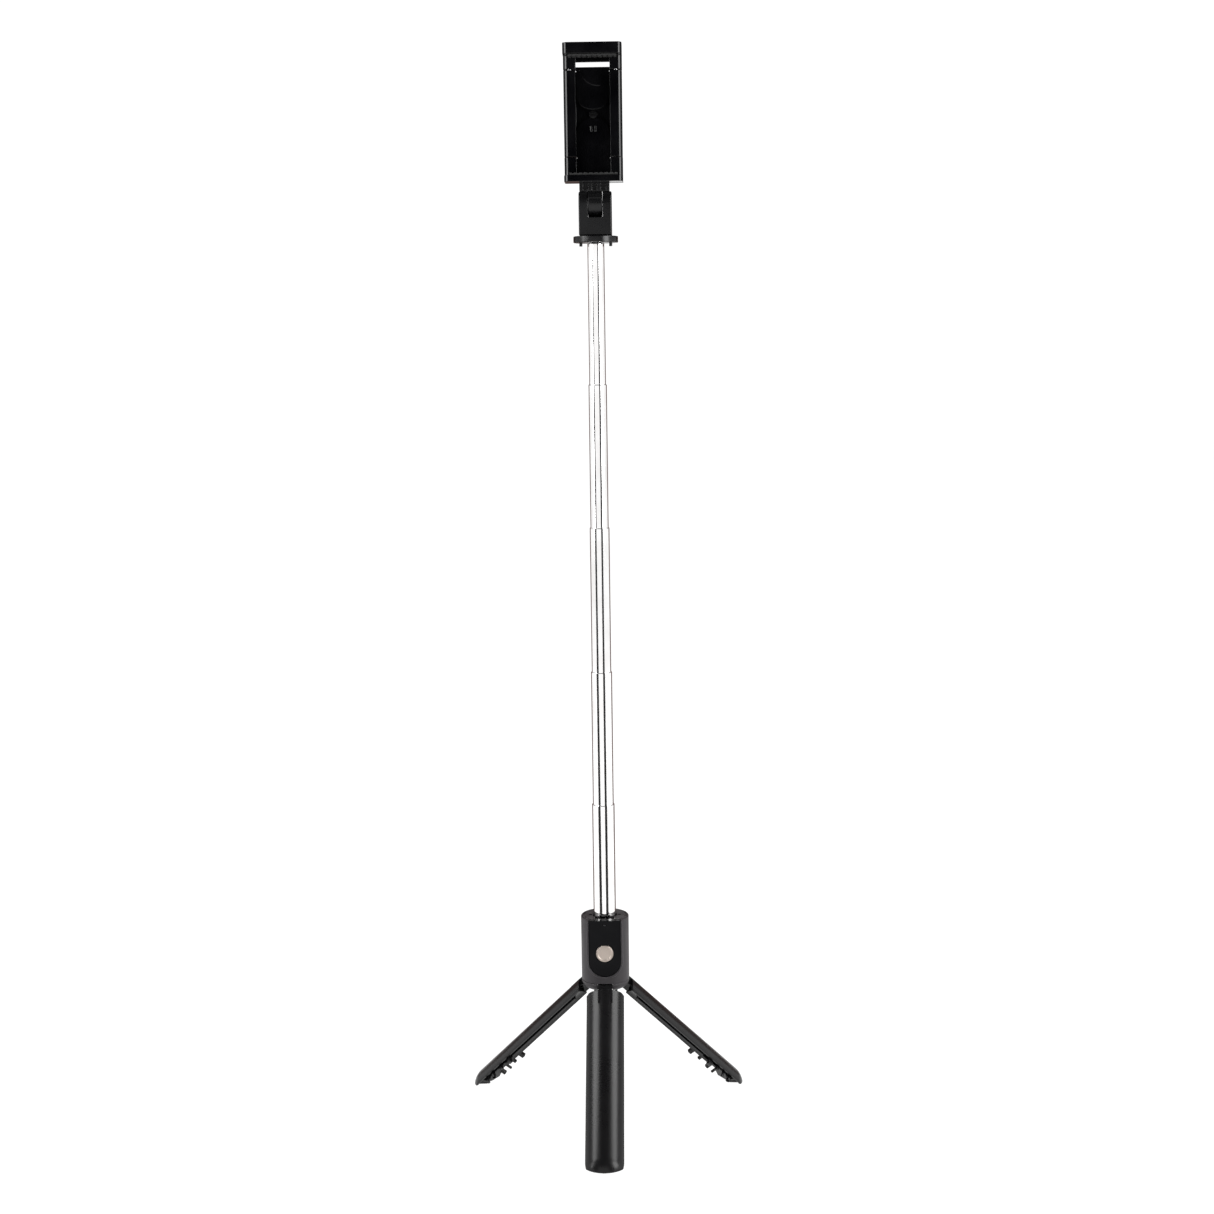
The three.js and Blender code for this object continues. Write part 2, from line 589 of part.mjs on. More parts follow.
function buildHead(discBottom) {
  const discTop = discBottom + discHeight;
  const tilt = discBottom + tiltAbovePole;
  const slotFloor = tilt - slotFloorBelowTilt;
  const pegs = [-1, 1].map((side) => {
    const x = side * pegOffset;
    return rod([x, 0, discBottom - pegLength], [x, 0, discBottom + 0.5], pegRadius, 12);
  });
  const discProfile = [
    [0, discBottom],
    [discRadius - 0.5, discBottom],
    [discRadius, discBottom + 0.6],
    [discRadius, discTop - 0.6],
    [discRadius - 0.5, discTop],
    [0, discTop],
  ];
  const boss = ring(3.8, 0, discBottom - 1, discTop + 3, 24);
  piece('top_disc', cut(join(turned(discProfile, 32), ...pegs), boss), mattBlack);

  // the plug in the top of the pole, on which the head turns
  const plugRadius = tubeRadius(1) - tubeWall - 0.6;
  const plug = join(
    ring(plugRadius, 0, discBottom - 14, discBottom - 0.4, tubeSides),
    ring(3.5, 0, discBottom - 1, discTop + 0.6, 24),
  );
  const threadHole = ring(1.3, 0, discBottom - 9, discTop + 2, 16);
  piece('tube_plug', cut(plug, threadHole), mattBlack);
  const screw = join(
    ring(1.0, 0, discBottom - 8, discTop + 1.2, 12),
    ring(3.2, 0, discTop + 0.9, discTop + 2.4, 16),
  );
  const cross = join(
    box(-1.6, 1.6, -0.35, 0.35, discTop + 1.6, discTop + 3),
    box(-0.35, 0.35, -1.6, 1.6, discTop + 1.6, discTop + 3),
  );
  piece('disc_screw', cut(screw, cross), steel);

  const fork = new THREE.Shape();
  fork.moveTo(-forkHalfDepth, discTop + GAP);
  fork.lineTo(forkHalfDepth, discTop + GAP);
  fork.lineTo(forkHalfDepth, tilt);
  fork.absarc(0, tilt, forkHalfDepth, 0, Math.PI);
  const block = sideways(fork, -forkHalfWidth, forkHalfWidth, 5, 0.7);
  const slot = box(-forkSlotHalfWidth, forkSlotHalfWidth, -20, 20, slotFloor, tilt + 20);
  const screwRoom = ring(3.6, 0, discTop, slotFloor + 1, 16);
  const across = (x0, x1, radius, segments) => rod([x0, 0, tilt], [x1, 0, tilt], radius, segments);
  const forkSolid = cut(
    block,
    slot,
    screwRoom,
    across(-20, 20, 2.3, 12),
    across(-20, -7.2, 4.1, 24),
    across(7.2, 20, 4.1, 24),
  );
  piece('neck_fork', forkSolid, mattBlack);

  const hexKey = across(-10, -8.4, 1.3, 6);
  piece('tilt_screw', cut(join(across(-8, 8.8, 2.0, 16), across(-9.6, -7.9, 3.5, 20)), hexKey), steel);
  piece('tilt_washer', cut(across(-7.6, -7.35, 3.5, 20), across(-8, -7, 2.3, 12)), steel);
  piece('tilt_nut', cut(across(7.5, 9.3, 3.6, 6), across(7, 10, 2.3, 12)), steel);

  // arm: a knuckle in the fork, a step forward, and a plate up behind the clamp
  const knuckle = across(-4.25, 4.25, earRadius, 24);
  const neck = new THREE.Shape();
  neck.moveTo(0, tilt - 2);
  neck.lineTo(9.5, tilt + 5.2);
  neck.lineTo(armReach, tilt + 8);
  neck.lineTo(armReach, tilt + 13);
  neck.lineTo(7.2, tilt + 10.5);
  neck.lineTo(4, tilt + 6.4);
  neck.lineTo(0, tilt + 6);
  const blockShape = new THREE.Shape();
  blockShape.moveTo(10.4, tilt + 6.5);
  blockShape.lineTo(armReach + armPlate, tilt + 6.5);
  blockShape.lineTo(armReach + armPlate, tilt + 17);
  blockShape.lineTo(armReach, tilt + 17);
  blockShape.lineTo(8.4, tilt + 11.5);
  blockShape.lineTo(8.4, tilt + 8);
  const plateTop = tilt + spinAboveTilt + armHalfWidth;
  const plate = rounded(-armHalfWidth, armHalfWidth, tilt + 8, plateTop, 0, armHalfWidth);
  const combs = [-5.3, 0, 5.3].map((x) => {
    const front = armReach + armPlate;
    return box(x - 1.45, x + 1.45, -front - 1, -front + 1.8, tilt, tilt + 15);
  });
  const spin = tilt + spinAboveTilt;
  const forward = (near, far, radius, segments) => rod([0, -near, spin], [0, -far, spin], radius, segments);
  const arm = cut(
    join(
      knuckle,
      sideways(neck, -4.25, 4.25),
      sideways(blockShape, -armHalfWidth, armHalfWidth, 1, 0.4),
      upright(plate, armReach, armReach + armPlate, 5),
    ),
    across(-10, 10, 2.3, 12),
    forward(10, 30, 1.9, 12),
    forward(10, armReach + 1.4, 4.3, 24),
    ...combs,
  );
  piece('tilt_arm', arm, mattBlack);
  piece('swivel_nut', cut(forward(armReach + 0.05, armReach + 1.1, 3.6, 6), forward(10, 30, 1.9, 12)), steel);
  return { spin };
}

// ---------- phone clamp ----------

function buildClamp(spin) {
  const back = armReach + armPlate + 0.4;
  const clamp = new THREE.Group();
  clamp.position.set(0, -back, spin - clampBelowSpin);
  stick.add(clamp);
  const forward = (near, far, height, radius, segments, x = 0) =>
    rod([x, -near, height], [x, -far, height], radius, segments);
  const up = (x, z0, z1, radius, segments = 16) =>
    rod([x, -rodDepth, z0], [x, -rodDepth, z1], radius, segments);

  // frame: a back sheet with a hollow rail along each side
  let frame = box(2 - clampHalfWidth, clampHalfWidth - 2, -frameSheet, 0, lowerJawTop + GAP, frameTop);
  for (const side of [-1, 1]) {
    const rail = level(railOutline(side, clampHalfWidth, railHeight), lowerJawTop + GAP, frameTop, 3);
    frame = join(frame, rail);
    const x = side * rodOffset;
    const springBore = up(x, lowerJawTop, frameTop - 2, 2.75, 20);
    const rodBore = up(x, frameTop - 3, frameTop + 1, rodRadius + GAP);
    frame = cut(frame, springBore, rodBore);
  }
  frame = cut(frame, forward(-1, 5, clampBelowSpin, 1.9, 12));
  piece('clamp_frame', frame, glossBlack, clamp);

  // jaws: a rail block on each side, joined by a floor and a hook
  function jaw(bottom, top, hookBottom, hookTop) {
    const half = clampHalfWidth + 0.05;
    const side = (sign) => level(railOutline(sign, half, railHeight + 0.05), bottom, top, 3);
    const floor = box(2 - half, half - 2, -frameSheet, 0, bottom, top);
    const hook = level(rounded(-half, half, -hookReach, 0, railCorner, 0), hookBottom, hookTop, 3);
    return join(side(-1), side(1), floor, hook);
  }
  const lower = jaw(0, lowerJawTop, 0, lowerHook);
  piece('jaw_lower', lower, glossBlack, clamp);

  const hookTop = clampHeight;
  const hookBottom = clampHeight - upperHook;
  const window = box(-9.9, 9.9, -5, 1, clampHeight - 12.1, clampHeight - 9.2);
  const tongueEnd = clampBelowSpin + 2.9;
  const tongueShape = new THREE.Shape();
  tongueShape.moveTo(-9.6, upperJawBottom + 1);
  tongueShape.lineTo(-9.6, tongueEnd + 7.3);
  tongueShape.bezierCurveTo(-9.2, tongueEnd + 2.3, -5, tongueEnd, 0, tongueEnd);
  tongueShape.bezierCurveTo(5, tongueEnd, 9.2, tongueEnd + 2.3, 9.6, tongueEnd + 7.3);
  tongueShape.lineTo(9.6, upperJawBottom + 1);
  const tongue = upright(tongueShape, frameSheet + GAP, frameSheet + GAP + 1.4, 5);
  const bridge = box(-9.9, 9.9, -frameSheet - GAP - 1.4, -1, upperJawBottom, clampHeight - 12.4);
  let upper = jaw(upperJawBottom, hookTop, hookBottom, hookTop);
  upper = cut(join(upper, tongue, bridge), window);
  for (const side of [-1, 1]) {
    upper = cut(upper, up(side * rodOffset, upperJawBottom - 1, rodTop + 0.4, rodRadius + GAP));
  }
  piece('jaw_upper', upper, glossBlack, clamp);

  // rubber on the jaws and on the clamp's back
  const padShape = (z0, z1) => rounded(railHeight + 0.5, hookReach - 1, z0, z1, 0.4);
  const lowerPad = sideways(padShape(lowerHook + 0.1, lowerHook + 1.5), -14, 14, 1);
  const upperPad = sideways(padShape(hookBottom - 1.5, hookBottom - 0.1), -14, 14, 1);
  const grooves = (z0, z1) => [-9, -3, 3, 9].map((x) => box(x - 0.5, x + 0.5, -20, -5, z0, z1));
  piece('jaw_pad_lower', cut(lowerPad, ...grooves(lowerHook + 1.1, lowerHook + 3)), rubber, clamp);
  piece('jaw_pad_upper', cut(upperPad, ...grooves(hookBottom - 3, hookBottom - 1.1)), rubber, clamp);
  const padTop = clampBelowSpin - 1.8;
  const backShape = new THREE.Shape();
  backShape.moveTo(-9.6, lowerHook + 0.6);
  backShape.lineTo(9.6, lowerHook + 0.6);
  backShape.lineTo(9.6, padTop - 9);
  backShape.bezierCurveTo(9.2, padTop - 2.4, 5, padTop, 0, padTop);
  backShape.bezierCurveTo(-5, padTop, -9.2, padTop - 2.4, -9.6, padTop - 9);
  const pad = cut(
    upright(backShape, frameSheet + GAP, frameSheet + GAP + 1.4, 6),
    forward(0, 6, clampBelowSpin, 2.8, 20),
    box(-1.6, -0.8, -6, -3.4, 29.2, 32.5),
    box(0.8, 1.6, -6, -3.4, 29.2, 32.5),
  );
  piece('back_pad', pad, glossBlack, clamp);

  // sprung guides: each rod hangs from the upper jaw and squeezes a spring as the jaw is drawn up
  const springBottom = rodBottom + 1.5 + 0.1 + springWire;
  const springTop = frameTop - 2 - 0.1 - springWire;
  class Helix extends THREE.Curve {
    getPoint(t, target = new THREE.Vector3()) {
      const turn = t * springTurns * 2 * Math.PI;
      const height = springBottom + t * (springTop - springBottom);
      return target.set(springRadius * Math.cos(turn), springRadius * Math.sin(turn), height);
    }
  }
  const wire = new THREE.Shape();
  wire.absarc(0, 0, springWire, 0, 2 * Math.PI);
  const coil = new THREE.ExtrudeGeometry(wire, {
    steps: springTurns * 7,
    curveSegments: 2,
    extrudePath: new Helix(),
  });
  for (const [name, side] of [['left', -1], ['right', 1]]) {
    const x = side * rodOffset;
    const guide = join(up(x, rodBottom, rodTop, rodRadius), up(x, rodBottom, rodBottom + 1.5, 2.3));
    piece(`guide_rod_${name}`, guide, steel, clamp);
    piece(`clamp_spring_${name}`, solid(coil.clone().translate(x, -rodDepth, 0)), steel, clamp);
  }

  // the screw that the clamp turns on
  const screw = join(
    forward(-3.2, 4.0, clampBelowSpin, 1.5, 12),
    forward(2.95, 4.6, clampBelowSpin, 2.15, 20),
  );
  const driverSlot = box(-2, 2, -5, -4.1, clampBelowSpin - 0.3, clampBelowSpin + 0.3);
  piece('swivel_screw', cut(screw, driverSlot), steel, clamp);
  const washer = cut(forward(2.4, 2.75, clampBelowSpin, 2.5, 20), forward(0, 6, clampBelowSpin, 1.8, 16));
  piece('swivel_washer', washer, steel, clamp);
}

// ---------- assembly ----------

buildHub();
buildLegs();
const poleTop = buildPole();
buildRemote();
const { spin } = buildHead(poleTop + 0.4);
buildClamp(spin);

const assembly = new THREE.Group();
assembly.add(stick);
assembly.updateMatrixWorld(true);
const bounds = new THREE.Box3().setFromObject(stick, true);
const middle = bounds.getCenter(new THREE.Vector3());
stick.position.set(-middle.x, -middle.y, -bounds.min.z);

export default assembly;
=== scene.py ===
import json
import math

import bmesh
import bpy
from mathutils import Matrix, Vector


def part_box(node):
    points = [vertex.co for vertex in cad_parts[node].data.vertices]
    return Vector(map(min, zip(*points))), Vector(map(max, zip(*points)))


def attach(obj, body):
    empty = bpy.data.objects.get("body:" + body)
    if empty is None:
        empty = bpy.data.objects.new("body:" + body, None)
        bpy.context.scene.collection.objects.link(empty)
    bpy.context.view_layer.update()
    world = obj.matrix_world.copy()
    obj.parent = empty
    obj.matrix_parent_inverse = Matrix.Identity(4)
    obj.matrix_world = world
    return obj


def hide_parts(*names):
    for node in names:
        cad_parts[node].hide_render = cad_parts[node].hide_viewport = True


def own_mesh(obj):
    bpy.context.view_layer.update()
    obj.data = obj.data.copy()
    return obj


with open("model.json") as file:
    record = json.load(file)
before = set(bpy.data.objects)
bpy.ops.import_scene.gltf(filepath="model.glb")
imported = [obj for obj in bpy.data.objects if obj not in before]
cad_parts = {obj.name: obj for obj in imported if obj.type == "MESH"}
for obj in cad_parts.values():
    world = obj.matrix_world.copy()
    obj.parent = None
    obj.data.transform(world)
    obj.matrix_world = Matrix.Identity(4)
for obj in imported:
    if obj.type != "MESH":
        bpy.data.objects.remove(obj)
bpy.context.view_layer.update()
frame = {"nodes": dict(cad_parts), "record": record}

# ---------- places and sizes, in millimetres about the pole's axis, front towards -Y ----------
# Depths such as REMOTE_FRONT count forward from the axis. Drops count down from the hinges of a
# folded leg. Heights in the clamp count up from its lower end.

MM = 0.001
_tube_low, _tube_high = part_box("tube_6")
POLE = Vector(((_tube_low.x + _tube_high.x) / 2, (_tube_low.y + _tube_high.y) / 2, 0.0))


def span(node):
    """Lowest and highest corner of a CAD node."""
    low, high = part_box(node)
    return (low - POLE) / MM, (high - POLE) / MM


GAP = 0.3  # clearance between pieces that meet
WELD = 1e-4  # corners closer than this are one
BEVEL_WELD = 2e-3  # the same before edges are rounded
SLIVER = 1e-3  # edges shorter than this are dropped
FORWARD = Matrix.Rotation(math.pi / 2, 4, "X")  # turns the Z axis to the front

HUB_RADIUS = span("hub_shell")[1].x
HUB_TOP = span("hub_shell")[1].z
HUB_SEAM = (span("hub_shell")[0].z + span("hub_base")[1].z) / 2
HUB_BOTTOM = span("hub_base")[0].z
HUB_WALL = HUB_RADIUS - GAP - span("hub_cap")[1].x
HUB_FLOOR = span("tube_collar")[0].z - GAP
HUB_BORE = span("tube_6")[1].x + 0.25
SEAM_HALF = 0.06
CHANNEL_BACK = 9.5
RIB_LOW, RIB_HIGH = 103, 127
RIB_BACK, RIB_FRONT = 11.95, 12.45
PEG_OFFSET = 9

HINGE_RADIUS = 11.4
HINGE_HEIGHT = HUB_SEAM
PIN_BORE = 1.3
LEG_ANGLE = math.radians(45.9)
LEG_AZIMUTHS = {"front": 0.0, "right": math.radians(120), "left": math.radians(-120)}
LEG_RADIUS = 14.05
LEG_WALL = 1.5
LEG_HALF_ANGLE = 58.5
LEG_TOP_DROP = 5.6
LEG_LENGTH = 126.05
NOSE_LENGTH = 8.8
NOSE_RADIUS = 13.7
LINER_TOP_DROP = 16
LINER_END_DROP = 115.8
LINER_RADII = (9.6, 8.4)
LINER_HALF_ANGLE = 53
RIB_HALF_ANGLE = 38
WEB_DROPS = (18, 48, 79)
GUSSET_DROPS = (106.5, 113.9)
CATCH_RADIUS = 10.1
TOOTH_RADIUS = 10.4
TOOTH_DROPS = {1: (87.6, 96.6), -1: (91.2, 99.3)}
RING_DROPS = {1: 105.9, -1: 112.2}
PEG_DROPS = {1: 112.2, -1: 105.9}
KNUCKLE_RADIUS = 2.4
KNUCKLE_HALF = 4.5

REMOTE_LOW, REMOTE_HIGH = span("remote_front")
REMOTE_HALF = REMOTE_HIGH.x
REMOTE_BOTTOM = REMOTE_LOW.z
REMOTE_TOP = REMOTE_HIGH.z
REMOTE_FRONT = -REMOTE_LOW.y
REMOTE_BACK = -span("battery_door")[1].y
PAD_HALF = REMOTE_HALF + 1.5
BUTTON_LOW, BUTTON_HIGH = span("remote_button")
BUTTON_HEIGHT = (BUTTON_LOW.z + BUTTON_HIGH.z) / 2
BUTTON_RADIUS = 5.4
BUTTON_FLANGE = 6.1
BUTTON_BACK = 13.05
REMOTE_WALL = 1.0
LED_DROP = 2.9
LED_RADIUS = 0.7
DOOR_RADIUS = 7.75
DOOR_FRONT = 10.55

TUBE_WALL = 0.3
TUBE_ROLL = 0.45

DISC_BOTTOM = span("disc_screw")[0].z + 8.0
DISC_TOP = span("top_disc")[1].z
DISC_RADIUS = span("top_disc")[1].x
FORK_HALF = span("neck_fork")[1].x
FORK_DEPTH = span("neck_fork")[1].y
TILT = span("neck_fork")[1].z - FORK_DEPTH
FORK_SLOT_HALF = 4.55
FORK_SLOT_DROP = 8.0
TILT_BORE = 2.3
TILT_RECESS = 4.1
TILT_NUT_RADIUS = 3.6
ARM_HALF = span("tilt_arm")[1].x
ARM_REACH = 15.9
ARM_PLATE = 3.0
ARM_NECK_HALF = 4.25
ARM_KNUCKLE_RADIUS = 7.6
SPIN = span("tilt_arm")[1].z - ARM_HALF
SWIVEL_BORE = 1.9

CLAMP_BACK = -span("clamp_frame")[1].y
CLAMP_BASE = span("jaw_lower")[0].z
CLAMP_HEIGHT = span("jaw_upper")[1].z - CLAMP_BASE
CLAMP_HALF = span("clamp_frame")[1].x
CLAMP_SPIN = SPIN - CLAMP_BASE
RAIL_DEPTH = 9.0
RAIL_INNER = 10.0
RAIL_CORNER = 3.0
HOOK_REACH = 18.0
SHEET = 2.2
TONGUE = (SHEET + GAP, SHEET + GAP + 1.4)
TONGUE_HALF = 9.6
LOWER_HOOK = 3.6
UPPER_HOOK = 6.3
LOWER_JAW_TOP = span("jaw_lower")[1].z - CLAMP_BASE
FRAME_TOP = span("clamp_frame")[1].z - CLAMP_BASE
UPPER_JAW_BOTTOM = FRAME_TOP + 0.6
ROD_OFFSET = 13.5
ROD_DEPTH = 4.6
ROD_RADIUS = 1.2
ROD_BORE = 1.5
SPRING_BORE = 2.75
SPRING_RADIUS = 1.9
SPRING_WIRE = 0.35
SPRING_TURNS = 8

# The studio's are in metres.
CARD_DISTANCE = 0.42
CARD_TOP = 0.585
SHADE_LOW, SHADE_HIGH = 0.58, 1.2
LAMP_TARGET = Vector((0, 0, 0.35))

# ---------- shapes ----------


def arc(x, y, radius, start, end, steps=8):
    """Points round a circle, angles in degrees."""
    turns = [math.radians(start + (end - start) * k / steps) for k in range(steps + 1)]
    return [(x + radius * math.cos(a), y + radius * math.sin(a)) for a in turns]


def curve(a, b, c, d, steps):
    """Points along a cubic curve from a to d."""
    points = []
    for k in range(steps + 1):
        t = k / steps
        weights = ((1 - t) ** 3, 3 * t * (1 - t) ** 2, 3 * t * t * (1 - t), t**3)
        points.append(tuple(sum(w * p[i] for w, p in zip(weights, (a, b, c, d))) for i in (0, 1)))
    return points


def rounded(x0, x1, y0, y1, lower, upper=None, steps=8):
    """A rectangle with rounded lower and upper corners."""
    upper = lower if upper is None else upper
    corners = (
        (x0 + lower, y0 + lower, lower, 180),
        (x1 - lower, y0 + lower, lower, 270),
        (x1 - upper, y1 - upper, upper, 0),
        (x0 + upper, y1 - upper, upper, 90),
    )
    outline = []
    for x, y, radius, start in corners:
        outline += arc(x, y, radius, start, start + 90, steps) if radius > 0 else [(x, y)]
    return outline


def shield(half, bottom, top):
    """The U-shaped outline that the remote, its channel and the pad round it share."""
    return rounded(-half, half, bottom, top, half * 0.97, 0, steps=16)


def new_piece(name, points, faces):
    mesh = bpy.data.meshes.new(name)
    mesh.from_pydata(points, [], faces)
    work = bmesh.new()
    work.from_mesh(mesh)
    bmesh.ops.remove_doubles(work, verts=work.verts, dist=WELD)
    bmesh.ops.recalc_face_normals(work, faces=work.faces)
    work.to_mesh(mesh)
    work.free()
    piece = bpy.data.objects.new(name, mesh)
    bpy.context.scene.collection.objects.link(piece)
    return piece


def turned(profile, segments=96, name="part"):
    """A turned shape about Z from a profile of (radius, height), which ends on the axis or closes."""
    points, rings = [], []
    for radius, height in profile:
        if radius < 1e-6:
            rings.append([len(points)] * segments)
            points.append((0, 0, height))
            continue
        rings.append(list(range(len(points), len(points) + segments)))
        turns = [2 * math.pi * k / segments for k in range(segments)]
        points += [(radius * math.cos(a), radius * math.sin(a), height) for a in turns]
    pairs = list(zip(rings, rings[1:]))
    if min(profile[0][0], profile[-1][0]) > 1e-6:
        pairs.append((rings[-1], rings[0]))
    faces = []
    for low, high in pairs:
        for k in range(segments):
            n = (k + 1) % segments
            face = [low[k], low[n], high[n], high[k]]
            faces.append(tuple(dict.fromkeys(face)))
    return new_piece(name, points, [f for f in faces if len(f) > 2])


def prism(outline, near, far, axis="up"):
    """An outline drawn out from near to far: up along Z, front towards -Y, or side along X."""
    places = {
        "up": lambda u, v, w: (u, v, w),
        "front": lambda u, v, w: (u, -w, v),
        "side": lambda u, v, w: (w, -u, v),
    }
    place = places[axis]
    count = len(outline)
    points = [place(u, v, near) for u, v in outline] + [place(u, v, far) for u, v in outline]
    faces = [tuple(range(count)), tuple(range(2 * count - 1, count - 1, -1))]
    faces += [(k, (k + 1) % count, count + (k + 1) % count, count + k) for k in range(count)]
    return new_piece("part", points, faces)


def box(x0, x1, y0, y1, z0, z1):
    return prism([(x0, y0), (x1, y0), (x1, y1), (x0, y1)], z0, z1)


def rod(start, end, radius, segments=48, edge=0.0):
    """A rod between two points, with rounded ends where edge is given."""
    start, end = Vector(start), Vector(end)
    length = (end - start).length
    profile = [(0, 0)]
    if edge > 0:
        profile += [(radius - edge + x, edge + y) for x, y in arc(0, 0, edge, -90, 0, 3)]
        profile += [(radius - edge + x, length - edge + y) for x, y in arc(0, 0, edge, 0, 90, 3)]
    else:
        profile += [(radius, 0), (radius, length)]
    piece = turned(profile + [(0, length)], segments)
    turn = Vector((0, 0, 1)).rotation_difference(end - start).to_matrix().to_4x4()
    piece.data.transform(Matrix.Translation(start) @ turn)
    return piece


def bake(piece):
    """Replaces a piece's mesh by what its modifiers make of it."""
    bpy.context.view_layer.update()
    graph = bpy.context.evaluated_depsgraph_get()
    mesh = bpy.data.meshes.new_from_object(piece.evaluated_get(graph))
    piece.modifiers.clear()
    piece.data = mesh
    return piece


def combine(operation, piece, tools):
    for tool in tools:
        modifier = piece.modifiers.new("combine", "BOOLEAN")
        modifier.operation = operation
        modifier.solver = "EXACT"
        modifier.object = tool
    bake(piece)
    for tool in tools:
        bpy.data.objects.remove(tool)
    return piece


def join(piece, *tools):
    return combine("UNION", piece, tools)


def cut(piece, *tools):
    return combine("DIFFERENCE", piece, tools)


def within(piece, *tools):
    return combine("INTERSECT", piece, tools)


def moved(piece, matrix):
    piece.data.transform(matrix)
    return piece


def turned_forward(profile, height, segments):
    """A shape turned about the front axis at a height. Its profile's heights count towards the front."""
    return moved(turned(profile, segments), Matrix.Translation((0, 0, height)) @ FORWARD)


def soften(piece, width, angle=32, segments=3):
    """Rounds every edge that is sharper than the angle."""
    work = bmesh.new()
    work.from_mesh(piece.data)
    bmesh.ops.remove_doubles(work, verts=work.verts, dist=BEVEL_WELD)
    bmesh.ops.dissolve_degenerate(work, edges=work.edges, dist=SLIVER)
    work.to_mesh(piece.data)
    work.free()
    modifier = piece.modifiers.new("edges", "BEVEL")
    modifier.width = width
    modifier.segments = segments
    modifier.limit_method = "ANGLE"
    modifier.angle_limit = math.radians(angle)
    modifier.use_clamp_overlap = False
    modifier.miter_outer = "MITER_ARC"
    return bake(piece)


# ---------- materials ----------


class Graph:
    """A material's nodes, made one after another."""

    def __init__(self, material):
        material.use_nodes = True
        self.tree = material.node_tree
        self.shader = self.tree.nodes["Principled BSDF"]

    def node(self, kind, inputs=(), **settings):
        made = self.tree.nodes.new(kind)
        for key, value in settings.items():
            setattr(made, key, value)
        for key, value in dict(inputs).items():
            if isinstance(value, bpy.types.NodeSocket):
                self.tree.links.new(value, made.inputs[key])
            else:
                made.inputs[key].default_value = value
        return made

    def math(self, operation, a, b=0.0):
        return self.node("ShaderNodeMath", {0: a, 1: b}, operation=operation).outputs[0]

    def vector(self, operation, inputs, output="Vector"):
        return self.node("ShaderNodeVectorMath", inputs, operation=operation).outputs[output]

    def noise(self, vector, scale, detail=3.0, roughness=0.5):
        inputs = {"Vector": vector, "Scale": scale, "Detail": detail, "Roughness": roughness}
        return self.node("ShaderNodeTexNoise", inputs).outputs["Fac"]

    def spread(self, value, low, high, start=0.3, end=0.7):
        inputs = {"Value": value, "From Min": start, "From Max": end, "To Min": low, "To Max": high}
        return self.node("ShaderNodeMapRange", inputs).outputs["Result"]

    def mix(self, factor, a, b):
        made = self.node("ShaderNodeMix", data_type="RGBA")
        for key, value in ((0, factor), (6, a), (7, b)):
            if isinstance(value, bpy.types.NodeSocket):
                self.tree.links.new(value, made.inputs[key])
            else:
                made.inputs[key].default_value = value
        return made.outputs[2]


GROOVE_PITCH = 0.32 * MM
GRAIN_DEPTH = 0.05 * MM


def finish(name, color, roughness, metallic=0.0, specular=0.5, spread=0.06, grain=2600, bump=0.12,
           wear_and_highlight=0.35, wear_and_highlight_color=None, stretch=(1, 1, 1), rings=None, edge_radius=0.35):
    """A procedural finish: mottled colour and roughness, fine grain, and lighter, rougher edges that are
    partly rubbed and partly a painted highlight.
    stretch draws the grain out along an axis, and rings adds turned grooves about a point."""
    material = bpy.data.materials.new(name)
    graph = Graph(material)
    place = graph.node("ShaderNodeTexCoord").outputs["Object"]
    drawn = graph.vector("MULTIPLY", {0: place, 1: stretch})
    cloud = graph.noise(place, 55.0, 4.0)
    speck = graph.noise(drawn, grain * 0.35, 2.0)
    fine = graph.noise(drawn, grain, 3.0, 0.6)

    base = (*color, 1.0)
    light = (*[min(1.0, c * 1.22 + 0.002) for c in color], 1.0)
    mottled = graph.mix(graph.spread(cloud, 0.0, 1.0), base, light)
    # The lighter edge colour is partly rubbed edges and partly a painted highlight on edges that would
    # catch the lamps.
    wear_and_highlight_tint = tuple(wear_and_highlight_color or [min(1.0, c * 2.0 + 0.03) for c in color])
    rounded_normal = graph.node("ShaderNodeBevel", {"Radius": edge_radius * MM}, samples=4).outputs[0]
    normal = graph.node("ShaderNodeNewGeometry").outputs["Normal"]
    facing = graph.vector("DOT_PRODUCT", {0: rounded_normal, 1: normal}, "Value")
    edge = graph.spread(graph.math("SUBTRACT", 1.0, facing), 0.0, 1.0, 0.02, 0.22)
    wear_and_highlight_mask = graph.math("MULTIPLY", graph.math("MULTIPLY", edge, graph.spread(speck, 0.2, 1.0)), wear_and_highlight)
    graph.tree.links.new(graph.mix(wear_and_highlight_mask, mottled, (*wear_and_highlight_tint, 1.0)), graph.shader.inputs["Base Color"])

    rough = graph.math("ADD", graph.spread(cloud, -spread, spread), roughness)
    rough = graph.math("ADD", rough, graph.spread(speck, -spread / 2, spread / 2))
    rough = graph.math("ADD", rough, graph.math("MULTIPLY", wear_and_highlight_mask, 0.3))
    graph.tree.links.new(graph.math("MAXIMUM", rough, 0.02), graph.shader.inputs["Roughness"])

    height = fine
    if rings is not None:
        offset = graph.vector("SUBTRACT", {0: place, 1: rings})
        flat = graph.vector("MULTIPLY", {0: offset, 1: (1, 0, 1)})
        distance = graph.vector("LENGTH", {0: flat}, "Value")
        groove = graph.math("SINE", graph.math("MULTIPLY", distance, 2 * math.pi / GROOVE_PITCH))
        height = graph.math("ADD", graph.math("MULTIPLY", groove, 0.35), fine)
    inputs = {"Height": height, "Strength": bump, "Distance": GRAIN_DEPTH, "Normal": rounded_normal}
    graph.tree.links.new(graph.node("ShaderNodeBump", inputs).outputs[0], graph.shader.inputs["Normal"])
    graph.shader.inputs["Metallic"].default_value = metallic
    graph.shader.inputs["Specular IOR Level"].default_value = specular
    return material


def button_centre():
    low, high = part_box("remote_button")
    return tuple((low + high) / 2)


